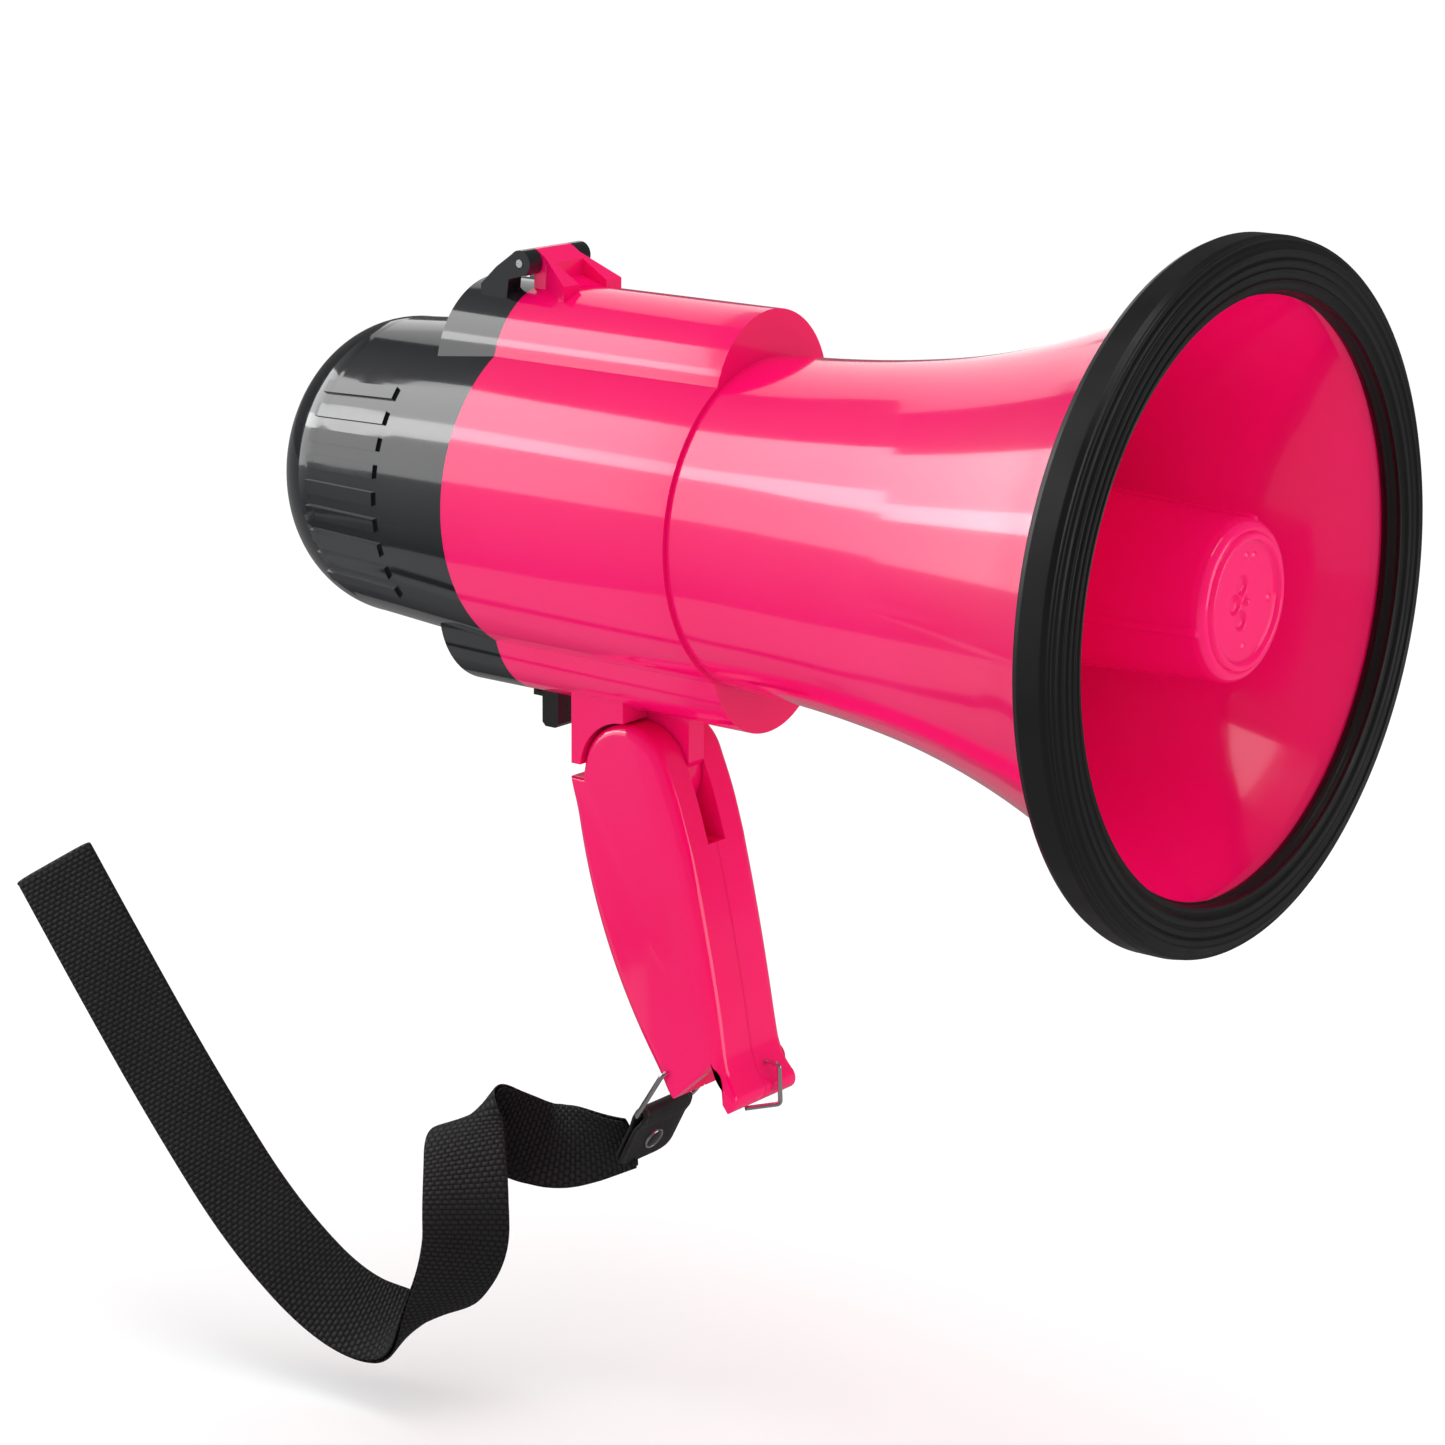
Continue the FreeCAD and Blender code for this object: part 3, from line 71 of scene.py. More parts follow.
# ---------------------------------------------------------------- pink plastic, and the horn bell
# The flared bell is one injection moulding in glossy hot pink ABS. It carries a flange under
# the rubber rim, and its root slips 5 mm into the housing.

class Wire:
    """An output socket with arithmetic: each sign between two of them adds one Math node."""

    def __init__(self, finish, socket):
        self.finish = finish
        self.socket = socket

    def __add__(self, other):
        return self.finish.math("ADD", self, other)

    def __sub__(self, other):
        return self.finish.math("SUBTRACT", self, other)

    def __rsub__(self, other):
        return self.finish.math("SUBTRACT", other, self)

    def __mul__(self, other):
        return self.finish.math("MULTIPLY", self, other)

    def __truediv__(self, other):
        return self.finish.math("DIVIDE", self, other)

    __radd__ = __add__
    __rmul__ = __mul__


class Finish:
    """A surface finish: a Principled material whose nodes are added one by one."""

    def __init__(self, name, **constants):
        self.material = bpy.data.materials.new(name)
        self.material.use_nodes = True
        self.tree = self.material.node_tree
        self.shader = self.tree.nodes["Principled BSDF"]
        for socket, value in constants.items():
            self.shader.inputs[socket.replace("_", " ")].default_value = value

    def node(self, kind, sockets, output=0, stops=(), **settings):
        """One node from its type, its settings, its colour stops and the values or links of its sockets."""
        made = self.tree.nodes.new("ShaderNode" + kind)
        for setting, value in settings.items():
            setattr(made, setting, value)
        for index, (place, colour) in enumerate(stops):
            if index > 1:
                made.color_ramp.elements.new(place)
            made.color_ramp.elements[index].position = place
            made.color_ramp.elements[index].color = colour
        for socket, value in sockets.items():
            self.feed(made.inputs[socket], value)
        return Wire(self, made.outputs[output])

    def feed(self, socket, value):
        if isinstance(value, Wire):
            self.tree.links.new(value.socket, socket)
        else:
            socket.default_value = value

    def math(self, operation, left, right=0.0):
        return self.node("Math", {0: left, 1: right}, operation=operation)

    def place(self):
        return self.node("TexCoord", {}, output="Object")

    def noise(self, scale, detail=3.0, stretch=(1.0, 1.0, 1.0)):
        """Noise on the piece's own place in metres; stretch squeezes it along an axis."""
        where = self.node("Mapping", {"Vector": self.place(), "Scale": stretch})
        return self.node("TexNoise", {"Vector": where, "Scale": scale, "Detail": detail})

    def between(self, low, high, factor):
        """A number that goes from low to high as factor, clamped, goes from a quarter to three quarters."""
        sockets = {0: factor, 1: 0.25, 2: 0.75, 3: low, 4: high}
        return self.node("MapRange", sockets, interpolation_type="SMOOTHSTEP")

    def tint(self, factor, first, second):
        return self.node("Mix", {0: factor, 6: first, 7: second}, output=2, data_type="RGBA")

    def bump(self, height, strength, distance):
        return self.node("Bump", {"Height": height, "Strength": strength, "Distance": distance})

    def end(self, **links):
        for socket, value in links.items():
            self.feed(self.shader.inputs[socket.replace("_", " ")], value)
        return self.material


def moulded(name, colour, shade, roughness, grain, **constants):
    """Moulded plastic: a slow drift between two tones, faint flow marks and rub marks, and a fine skin.

    grain is the depth of the skin's texture in metres.
    """
    finish = Finish(name, **constants)
    drift = finish.between(0.0, 1.0, finish.noise(14.0, 2.0))
    flow = finish.noise(60.0, 4.0, (0.35, 1.0, 1.0))
    rubbed = finish.noise(420.0, 6.0, (1.0, 0.2, 1.0))
    skin = finish.noise(2600.0, 2.0)
    gloss = finish.between(roughness * 0.8, roughness * 1.25, flow) + finish.between(0.0, 0.03, rubbed)
    height = skin * 0.4 + finish.noise(180.0, 2.0)
    return finish.end(
        Base_Color=finish.tint(drift, colour, shade),
        Roughness=gloss,
        Normal=finish.bump(height, 0.35, grain),
    )


pink = moulded(
    "hot_pink_plastic", (0.95, 0.004, 0.155, 1.0), (0.90, 0.002, 0.125, 1.0), 0.10, 0.00002,
    Coat_Weight=0.5, Coat_Roughness=0.04, Subsurface_Weight=0.12, Subsurface_Scale=0.004,
    Subsurface_Radius=(1.0, 0.1, 0.3),
)
black = moulded(
    "gloss_black_plastic", (0.006, 0.007, 0.009, 1.0), (0.011, 0.012, 0.015, 1.0), 0.09, 0.00002,
    Coat_Weight=0.6, Coat_Roughness=0.04,
)
rubber = moulded(
    "rim_rubber", (0.004, 0.0042, 0.0048, 1.0), (0.007, 0.0072, 0.008, 1.0), 0.36, 0.00004,
    Specular_IOR_Level=0.4,
)


def through(points, count):
    """A smooth line through the points: on each run a cubic whose slopes are the neighbours' differences
    over the run lengths, read at count even steps of the whole length."""
    spots = np.asarray(points, float)
    reach = np.concatenate([[0.0], np.cumsum(np.linalg.norm(np.diff(spots, axis=0), axis=1))])
    slopes = np.gradient(spots, reach, axis=0, edge_order=1)
    at = np.linspace(0.0, reach[-1], count)
    run = np.clip(np.searchsorted(reach, at, side="right") - 1, 0, len(reach) - 2)
    span = (reach[run + 1] - reach[run])[:, None]
    t = ((at - reach[run]) / span[:, 0])[:, None]
    near, far = spots[run], spots[run + 1]
    return ((2 * t**3 - 3 * t**2 + 1) * near + (t**3 - 2 * t**2 + t) * span * slopes[run]
            + (3 * t**2 - 2 * t**3) * far + (t**3 - t**2) * span * slopes[run + 1])


def straight(points, step):
    """Straight runs between the points, divided evenly into pieces of about one step."""
    runs = []
    for near, far in zip(points, points[1:]):
        near, far = np.asarray(near, float), np.asarray(far, float)
        count = max(1, round(float(np.linalg.norm(far - near)) / step))
        share = np.arange(count)[:, None] / count
        runs.append(near + (far - near) * share)
    return np.vstack(runs + [np.asarray(points[-1:], float)])


def surface(name, grid, material, body, closed_rows=False, filled_ends=False, crease=35):
    """A closed mesh from a grid of points: quads between neighbours, round in the columns, and round in
    the rows too where closed_rows is set, or with its first and last rows filled. Faces look outwards."""
    rows, columns = grid.shape[:2]
    index = np.arange(rows * columns).reshape(rows, columns)
    index = np.hstack([index, index[:, :1]])
    if closed_rows:
        index = np.vstack([index, index[:1]])
    quads = np.stack([index[:-1, :-1], index[1:, :-1], index[1:, 1:], index[:-1, 1:]], axis=-1)
    faces = quads.reshape(-1, 4).tolist()
    if filled_ends:
        faces += [index[0, :columns].tolist(), index[-1, :columns][::-1].tolist()]
    mesh = bpy.data.meshes.new(name)
    mesh.from_pydata(grid.reshape(-1, 3).tolist(), [], faces)
    tidy = bmesh.new()
    tidy.from_mesh(mesh)
    bmesh.ops.remove_doubles(tidy, verts=tidy.verts, dist=2e-6)
    bmesh.ops.recalc_face_normals(tidy, faces=tidy.faces)
    tidy.to_mesh(mesh)
    tidy.free()
    mesh.shade_smooth()
    mesh.set_sharp_from_angle(angle=math.radians(crease))
    mesh.materials.append(material)
    piece = bpy.data.objects.new(name, mesh)
    scene.collection.objects.link(piece)
    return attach(piece, body)


def spun(section, count, height=0.0):
    """A section of (x, radius) points carried round the horn's axis: y is the radius times the sine of the
    angle, z the axis plus the radius times its cosine. height adds to the radius where it is given."""
    angle = np.linspace(0.0, 2 * np.pi, count, endpoint=False)
    x = np.repeat(section[:, :1], count, axis=1)
    radius = section[:, 1:2] + height
    return np.stack([x, radius * np.sin(angle), axis_z + radius * np.cos(angle)], axis=-1)


rim_low, rim_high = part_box("rubber_rim")
axis_z = (rim_low.z + rim_high.z) / 2
mouth_x = rim_high.x
seam_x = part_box("main_housing")[1].x
bell_wall = 0.0022
bell_outside = through(
    [(seam_x, 0.0402), (0.045, 0.0411), (0.065, 0.0430), (0.085, 0.0461), (0.105, 0.0511),
     (0.125, 0.0581), (0.140, 0.0646), (mouth_x - 0.0055, 0.0713)], 90)
bell_inside = (bell_outside - (0.0, bell_wall))[::-1]
flange_back = mouth_x - 0.0079
bell_section = np.vstack([
    bell_outside[bell_outside[:, 0] < flange_back],
    straight([(flange_back, 0.0706), (flange_back, 0.0762), (mouth_x - 0.0055, 0.0762),
              (mouth_x - 0.0055, bell_inside[0, 1] + 0.0008)], 0.002),
    bell_inside[1:],
    straight([(seam_x, 0.0368), (seam_x - 0.005, 0.0368), (seam_x - 0.005, 0.0386),
              (seam_x, 0.0386), (seam_x, 0.0396)], 0.002),
])
bell = surface("horn_bell_skin", spun(bell_section, 256), pink, "shell", closed_rows=True)
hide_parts("horn_bell")


# ---------------------------------------------------------------- rubber rim
# A moulded ring of black rubber, stretched over the bell's flange. Fine grooves run round
# its front and its inside, and two wider ones round its outside.

def with_grooves(section, places, width, depth):
    """Sinks round-bottomed grooves into a section: at each place along its length the outline
    moves inwards by depth times a bell curve of that width."""
    steps = np.linalg.norm(np.diff(section, axis=0, append=section[:1]), axis=1)
    along = np.cumsum(steps) - steps
    way = np.roll(section, -1, axis=0) - np.roll(section, 1, axis=0)
    inward = np.stack([way[:, 1], -way[:, 0]], axis=-1) / np.linalg.norm(way, axis=1)[:, None]
    sunk = sum(np.exp(-(((along - place) / width) ** 2) * 2.8) for place in places)
    return section + inward * (np.clip(sunk, 0, 1) * depth)[:, None]


rim_outline = [
    (-0.0055, 0.0680), (-0.0044, 0.0675), (-0.0026, 0.0677), (-0.0012, 0.0685), (-0.0003, 0.0700),
    (0.0, 0.0720), (0.0, 0.0765), (-0.0006, 0.0782), (-0.0016, 0.0793), (-0.0032, 0.0800),
    (-0.0088, 0.0800), (-0.0101, 0.0794), (-0.0108, 0.0780), (-0.0110, 0.0765), (-0.0103, 0.0720),
    (-0.0080, 0.0719), (-0.0080, 0.0767), (-0.0055, 0.0767), (-0.0055, 0.0700), (-0.0055, 0.0680),
]
rim_section = straight([(mouth_x + back, radius) for back, radius in rim_outline], 0.00024)[:-1]
rim_section = with_grooves(rim_section, (0.0022, 0.0046, 0.0068, 0.0090, 0.0112), 0.00042, 0.0006)
rim_section = with_grooves(rim_section, (0.0160, 0.0188), 0.00050, 0.0006)
rim = surface("rubber_rim_skin", spun(rim_section, 220), rubber, "shell", closed_rows=True, crease=60)
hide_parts("rubber_rim")


# ---------------------------------------------------------------- reflector
# The cup that folds the sound path: pink ABS, open at the back, with a raised ring on its
# front, a gate mark in the middle, three sunk lobes beside it and a ridge on three sides.

cup_low, cup_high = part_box("reflector_cup")
cup_front = cup_high.x
cup_columns = 240
cup_radii = straight([(0.0, 0.0), (0.0157, 0.0)], 0.0003)[:, 0]
cup_angle = np.linspace(0.0, 2 * np.pi, cup_columns, endpoint=False)


def raised(distance, reach, edge):
    """One inside reach of a place and nought outside it, with a soft step as wide as edge."""
    t = np.clip((reach + edge / 2 - distance) / edge, 0.0, 1.0)
    return t * t * (3 - 2 * t)


def cup_face(radius, angle):
    """How far the front stands forward of its recess: a ring at the edge, a gate mark at the centre,
    three round lobes sunk beside it and a few small mould marks."""
    across, up = radius * np.sin(angle), radius * np.cos(angle)
    height = 0.0011 * raised(np.abs(radius - 0.0146), 0.0009, 0.0007)
    height = height + 0.0012 * raised(radius, 0.0008, 0.0006)
    for turn_by in (200, 270, 340):
        y, z = 0.0042 * np.sin(np.radians(turn_by)), 0.0042 * np.cos(np.radians(turn_by))
        height = height - 0.0008 * raised(np.hypot(across - y, up - z), 0.0021, 0.0007)
    for turn_by in (0, 18, 95, 180):
        y, z = 0.0102 * np.sin(np.radians(turn_by)), 0.0102 * np.cos(np.radians(turn_by))
        height = height + 0.0003 * raised(np.hypot(across - y, up - z), 0.0008, 0.0005)
    return height


cup_rings = cup_radii[:, None]
face_x = cup_front - 0.0012 + cup_face(cup_rings, cup_angle[None, :])
front_face = np.stack(
    [face_x, cup_rings * np.sin(cup_angle), axis_z + cup_rings * np.cos(cup_angle)], axis=-1)
rounded_edge = through([(cup_front - 0.0009, 0.0161), (cup_front - 0.0011, 0.0169),
                        (cup_front - 0.0020, 0.0179), (cup_front - 0.0038, 0.0184)], 10)
outer_flank = straight([(cup_front - 0.0045, 0.01843), (cup_low.x, 0.0210)], 0.003)
inside = straight([(cup_low.x, 0.0192), (cup_front - 0.0050, 0.0166), (cup_front - 0.0032, 0.0)], 0.003)
flank_section = np.vstack([rounded_edge, outer_flank, inside])
ridge_turns = np.radians([257.0, 137.0, 17.0])
ridge_radius = 0.019
ridge_away = np.abs((cup_angle[:, None] - ridge_turns + np.pi) % (2 * np.pi) - np.pi).min(axis=1)
off_ridge = ridge_away * ridge_radius
ridge_start = 6
on_flank = np.zeros(len(flank_section))
on_flank[ridge_start:len(rounded_edge) + len(outer_flank) - 1] = 1.0
ridge_height = 0.0008 * raised(off_ridge, 0.0009, 0.0008)[None, :] * on_flank[:, None]
flank = spun(flank_section, cup_columns, ridge_height)
cup = surface("reflector_cup_skin", np.vstack([front_face, flank]), pink, "shell", crease=50)
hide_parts("reflector_cup")


# ---------------------------------------------------------------- folding grip
# Two pink ABS shells that meet at the middle, with softly rounded outer edges. They are cut
# away at the top for the bracket's tongue and under the heel, and three screws close them.

grip_half = 0.013
foot_out, slot_out, bevel, half_joint = 0.0094, 0.0034, 0.0003, 0.00002
pivot = (-0.007, 0.0365)


def bow(start, middle, end, count):
    """Points along the circle through three places, in even steps of its angle."""
    (ax, az), (bx, bz), (cx, cz) = start, middle, end
    scale = 2 * (ax * (bz - cz) + bx * (cz - az) + cx * (az - bz))
    a2, b2, c2 = ax**2 + az**2, bx**2 + bz**2, cx**2 + cz**2
    ux = (a2 * (bz - cz) + b2 * (cz - az) + c2 * (az - bz)) / scale
    uz = (a2 * (cx - bx) + b2 * (ax - cx) + c2 * (bx - ax)) / scale
    first, between, last = (np.arctan2(z - uz, x - ux) for x, z in (start, middle, end))
    sweep = (last - first) % (2 * np.pi)
    if (between - first) % (2 * np.pi) > sweep:
        sweep -= 2 * np.pi
    turns = first + sweep * np.linspace(0.0, 1.0, count)
    radius = np.hypot(ax - ux, az - uz)
    return np.stack([ux + radius * np.cos(turns), uz + radius * np.sin(turns)], axis=-1)


crown_radius, crown_turn = 0.013, np.radians(25)
crown_end = (pivot[0] + crown_radius * np.cos(crown_turn), pivot[1] + crown_radius * np.sin(crown_turn))
slot_low = (0.01265, 0.021)
front_top = through([crown_end, (0.0086, 0.033), slot_low], 16)
front_low = through(
    [slot_low, (0.0150, 0.0120), (0.0181, -0.0010), (0.0217, -0.0180), (0.0240, -0.0303)], 40)
# each stretch: its points, its edge's rounding, and the line that stands in for it inside the shells
stretches = [
    (bow((0.0072, -0.0420), (-0.0132, -0.0074), (-0.0238, 0.0340), 60), 0.0034, None),
    (straight([(-0.0238, 0.0340), (-0.01976, 0.0340)], 0.0009), 0.0010, None),
    (np.vstack([bow((-0.01976, 0.0340), (-0.0070, 0.0495), crown_end, 50), front_top[1:]]), 0.0030, "slot"),
    (front_low, 0.0034, None),
    (through([(0.0240, -0.0303), (0.0255, -0.0345), (0.0276, -0.0376)], 10), 0.0028, None),
    (bow((0.0276, -0.0376), (0.0286, -0.0408), (0.0266, -0.0434), 10), 0.0018, None),
    (straight([(0.0266, -0.0434), (0.0248, -0.0414), (0.0240, -0.0360)], 0.0009), 0.0010, None),
    (bow((0.0240, -0.0360), (0.0216, -0.0330), (0.0186, -0.0350), 12), 0.0010, None),
    (straight([(0.0186, -0.0350), (0.0094, -0.0434)], 0.0008), 0.0010, "foot"),
    (straight([(0.0094, -0.0434), (0.0072, -0.0420)], 0.0007), 0.0010, None),
]


def spread_evenly(points, count):
    """The same line read at count even steps of its length."""
    reach = np.concatenate([[0.0], np.cumsum(np.linalg.norm(np.diff(points, axis=0), axis=1))])
    at = np.linspace(0.0, reach[-1], count)
    return np.stack([np.interp(at, reach, points[:, axis]) for axis in (0, 1)], axis=-1)


slot_walk = np.vstack([
    bow((-0.01938, 0.0340), (-0.01591, 0.02759), (-0.0070, 0.0239), 30),
    straight([(-0.0070, 0.0236), (-0.0070, 0.0210), slot_low], 0.001),
])
foot_walk = straight([(0.0186, -0.0350), (0.0170, -0.0300), (0.0085, -0.0365), (0.0094, -0.0434)], 0.001)

outline, with_foot, with_slot, rounding = [], [], [], []
for points, radius, walk in stretches:
    points = points[:-1]
    count = len(points)
    foot = spread_evenly(foot_walk, count + 1)[:-1] if walk == "foot" else points
    slot_line = spread_evenly(slot_walk, count + 1)[:-1] if walk == "slot" else foot
    outline.append(points)
    with_foot.append(foot)
    with_slot.append(slot_line)
    rounding.append(np.full(count, radius))
outline, with_foot, with_slot = (np.vstack(part) for part in (outline, with_foot, with_slot))
rounding = np.concatenate(rounding)
along = np.roll(outline, -1, axis=0) - np.roll(outline, 1, axis=0)
inward = np.stack([along[:, 1], -along[:, 0]], axis=-1) / np.linalg.norm(along, axis=1)[:, None]
spread = inward
for _ in range(20):
    rounding = (np.roll(rounding, 1) + 2 * rounding + np.roll(rounding, -1)) / 4
    spread = (np.roll(spread, 1, axis=0) + 2 * spread + np.roll(spread, -1, axis=0)) / 4
inward = spread / np.linalg.norm(spread, axis=1)[:, None]
rounding = rounding * np.clip(np.linalg.norm(spread, axis=1), 0.4, 1.0) ** 2


def grip_shell(name, side, node_replaced):
    """Half of the grip as rows from the cheek to the middle: a quarter circle of insets rounds the
    cheek's edge, then the wall runs in, steps up at the foot and back at the slot, and ends in a
    small bevel."""
    rows = []
    for turn_by in np.linspace(0.0, np.pi / 2, 9):
        inset = outline + inward * (rounding * (1 - np.sin(turn_by)))[:, None]
        rows.append((inset, grip_half - rounding * (1 - np.cos(turn_by))))
    level = np.ones(len(outline))
    rows += [(outline, foot_out * level), (with_foot, foot_out * level), (with_foot, slot_out * level),
             (with_slot, slot_out * level), (with_slot, bevel * level),
             (with_slot + inward * bevel, half_joint * level)]
    grid = np.stack([np.stack([line[:, 0], side * out, line[:, 1]], axis=-1) for line, out in rows])
    shell = surface(name, grid, pink, "handle", filled_ends=True, crease=40)
    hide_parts(node_replaced)


grip_shell("grip_shell_right", -1, "handle_shell_right")
grip_shell("grip_shell_left", 1, "handle_shell_left")


# ---------------------------------------------------------------- wrist strap
# A flattened loop of black polypropylene webbing, 22 mm wide, in two layers. Both ends are
# pinched together in the tab; the band turns over once and hangs in a long curve.

strap_route = [
    (-0.0100, -0.0055, -0.0620), (-0.0260, -0.0120, -0.0655), (-0.0398, -0.0150, -0.0647),
    (-0.0490, -0.0250, -0.0560), (-0.0367, -0.0385, -0.0711), (-0.0356, -0.0400, -0.0898),
    (-0.0504, -0.0394, -0.1127), (-0.0725, -0.0438, -0.1139), (-0.0977, -0.0487, -0.0938),
    (-0.1210, -0.0519, -0.0651), (-0.1422, -0.0555, -0.0347), (-0.1634, -0.0574, -0.0056),
]
strap_width = 0.022
layer = 0.0012
gap = 0.00072
curve_data = bpy.data.curves.new("strap_line", "CURVE")
curve_data.dimensions = "3D"
curve_data.resolution_u = 22
spline = curve_data.splines.new("NURBS")
spline.points.add(len(strap_route) - 1)
for spot, place in zip(spline.points, strap_route):
    spot.co = (*place, 1.0)
spline.order_u = 3
spline.use_endpoint_u = True
strap_curve = bpy.data.objects.new("strap_line", curve_data)
scene.collection.objects.link(strap_curve)
bpy.context.view_layer.update()
read_off = bpy.data.meshes.new_from_object(strap_curve)
strap_line = np.array([vertex.co for vertex in read_off.vertices])
bpy.data.objects.remove(strap_curve)
if np.linalg.norm(strap_line[0] - strap_route[0]) > np.linalg.norm(strap_line[-1] - strap_route[0]):
    strap_line = strap_line[::-1]

strap_steps = np.linalg.norm(np.diff(strap_line, axis=0), axis=1)
strap_reach = np.concatenate([[0.0], np.cumsum(strap_steps)])
strap_length = float(strap_reach[-1])


def unit(vectors):
    return vectors / np.linalg.norm(vectors, axis=-1, keepdims=True)


def band_frame(line):
    """Along, across and off the band at each point. The band bends about one fixed direction, its ruling,
    so across is the ruling less its share along the line; by the tab it turns to the tab's own length."""
    ahead = unit(np.gradient(line, axis=0))
    ruling = np.array([0.608, 0.629, 0.481])
    across = unit(ruling - (ahead @ ruling)[:, None] * ahead)
    tab_down = np.array([0.454, 0.0, 0.891])
    pinched = unit(tab_down - (ahead @ tab_down)[:, None] * ahead)
    share = np.clip(1 - strap_reach / 0.030, 0.0, 1.0)
    share = (share * share * (3 - 2 * share))[:, None]
    across = unit(pinched * share + across * (1 - share))
    return ahead, across, np.cross(ahead, across)


def flattened_ring(count, wide_power, thick_power):
    """Cosines and sines round a turn, squared off towards a flat oblong by powers below one."""
    corner = np.linspace(0.0, 2 * np.pi, count, endpoint=False)
    return (np.sign(np.cos(corner)) * np.abs(np.cos(corner)) ** wide_power,
            np.sign(np.sin(corner)) * np.abs(np.sin(corner)) ** thick_power)


ahead, across, off = band_frame(strap_line)
pinch = 1 - 0.36 * np.clip(1 - strap_reach / 0.022, 0.0, 1.0) ** 1.5
band_columns = 36
flat_x, flat_y = flattened_ring(band_columns, 0.35, 0.8)
rows, marks = [], []


def band_row(centre, wide, thick, width, cup, travelled):
    """One cross-section: a flattened ring of points, hollowed by cup at its middle."""
    reach = flat_x * width / 2
    rise = flat_y * layer / 2 + cup * (1 - flat_x**2)
    rows.append(centre + np.outer(reach, wide) + np.outer(rise, thick))
    marks.append(np.stack([np.full(band_columns, travelled), reach, flat_y], axis=-1))


under_layer = 0.985
ripple = 0.0004 * np.sin(strap_reach * 61.0) + 0.0003 * np.sin(strap_reach * 143.0 + 1.0)
cupped = 0.0016 * np.clip(1 - strap_reach / 0.035, 0.0, 1.0)
strap_walk = list(zip(strap_line, across, off, strap_width * pinch, ripple, cupped, strap_reach))
for point, wide, thick, width, wave, cup, travelled in strap_walk:
    band_row(point + thick * gap, wide, thick, width, cup + wave, travelled)
for turn_by in np.linspace(0.0, np.pi, 9)[1:-1]:
    outwards = off[-1] * np.cos(turn_by) + ahead[-1] * np.sin(turn_by)
    band_row(strap_line[-1] + outwards * gap, across[-1], outwards, strap_width,
             ripple[-1] * np.cos(turn_by), strap_length + gap * turn_by)
for point, wide, thick, width, wave, cup, travelled in strap_walk[::-1]:
    band_row(point - thick * gap, wide, -thick, width * under_layer, -cup - wave,
             2 * strap_length - travelled)


def webbing(name):
    """Coarse plain-woven webbing: rice-grain floats in rows across the band, each row set half a grain on.

    With the travel along the band and the reach across it in grains, a grain's height is the product of
    the sines of its own share of each, and every second row is moved by half a grain.
    """
    finish = Finish(name, Specular_IOR_Level=0.35)
    lay = finish.node("Attribute", {}, output="Vector", attribute_name="lay")
    travel, reach, _ = (finish.node("SeparateXYZ", {"Vector": lay}, output=axis) for axis in range(3))
    lanes = travel / 0.00125
    lane = finish.math("FLOOR", lanes)
    grain = reach / 0.0019 + finish.math("MODULO", lane, 2.0) * 0.5
    high = finish.math("SINE", finish.math("FRACT", lanes) * np.pi)
    wide = finish.math("SINE", finish.math("FRACT", grain) * np.pi)
    grain_height = finish.math("POWER", high * wide, 0.55)
    fuzz = finish.noise(3800.0, 3.0)
    worn = finish.between(0.0, 1.0, finish.noise(45.0, 3.0))
    # The colour is lighter on each grain's top and darker in the hollows between the grains: painted
    # highlight and painted shade of the weave. worn varies it in random patches, and fuzz adds a random
    # fibre tone.
    painted_grain_light_and_fuzz = grain_height * (0.75 + 0.25 * worn) + fuzz * 0.12
    colour = finish.tint(painted_grain_light_and_fuzz, (0.0015, 0.0015, 0.002, 1.0), (0.014, 0.0145, 0.016, 1.0))
    return finish.end(
        Base_Color=colour,
        Roughness=0.82 - 0.30 * grain_height,
        Normal=finish.bump(grain_height + fuzz * 0.15, 1.0, 0.00045),
    )


def write_vectors(piece, name, vectors):
    """Stores one vector for each point of a piece, for its material to read."""
    values = piece.data.attributes.new(name, "FLOAT_VECTOR", "POINT")
    values.data.foreach_set("vector", np.asarray(vectors, np.float32).ravel())


strap_black = webbing("black_webbing")
strap = surface("wrist_strap_band", np.array(rows), strap_black, "lanyard", filled_ends=True, crease=70)
write_vectors(strap, "lay", marks)
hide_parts("wrist_strap")


# ---------------------------------------------------------------- tab and stud
# A strip of black leatherette folded round the ring's bar, edge-stitched, and closed over the
# strap's pinched ends by a domed press stud with a bright nickel rim.

ring_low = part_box("strap_ring")[0]
ring_wire_radius = 0.00065
bar = np.array([ring_low.x + ring_wire_radius, 0.0, ring_low.z + ring_wire_radius])
tab_turn = math.radians(27.0)
tab_down = np.array([-math.sin(tab_turn), 0.0, -math.cos(tab_turn)])
tab_out = np.array([math.cos(tab_turn), 0.0, -math.sin(tab_turn)])
tab_layer, tab_half, wire_room, tab_long = 0.0013, 0.0105, 0.00072, 0.0165
fold_radius = wire_room + tab_layer / 2
fold = [(-math.cos(turn_by) * fold_radius, math.sin(turn_by) * fold_radius)
        for turn_by in np.linspace(-np.pi / 2, np.pi / 2, 13)]
run = straight([(0.0015, 0.0014), (0.0045, 0.00068), (tab_long, 0.00066)], 0.0006)
tab_middle = np.vstack([run[::-1] * (1.0, -1.0), np.array(fold), run])
tab_way = unit(np.gradient(tab_middle, axis=0))
tab_side = np.stack([-tab_way[:, 1], tab_way[:, 0]], axis=-1)
tab_columns = 44
edge_y, edge_t = flattened_ring(tab_columns, 0.25, 0.7)
stitch_inset = 0.0016
end_round = 0.003
tab_rows, tab_marks = [], []
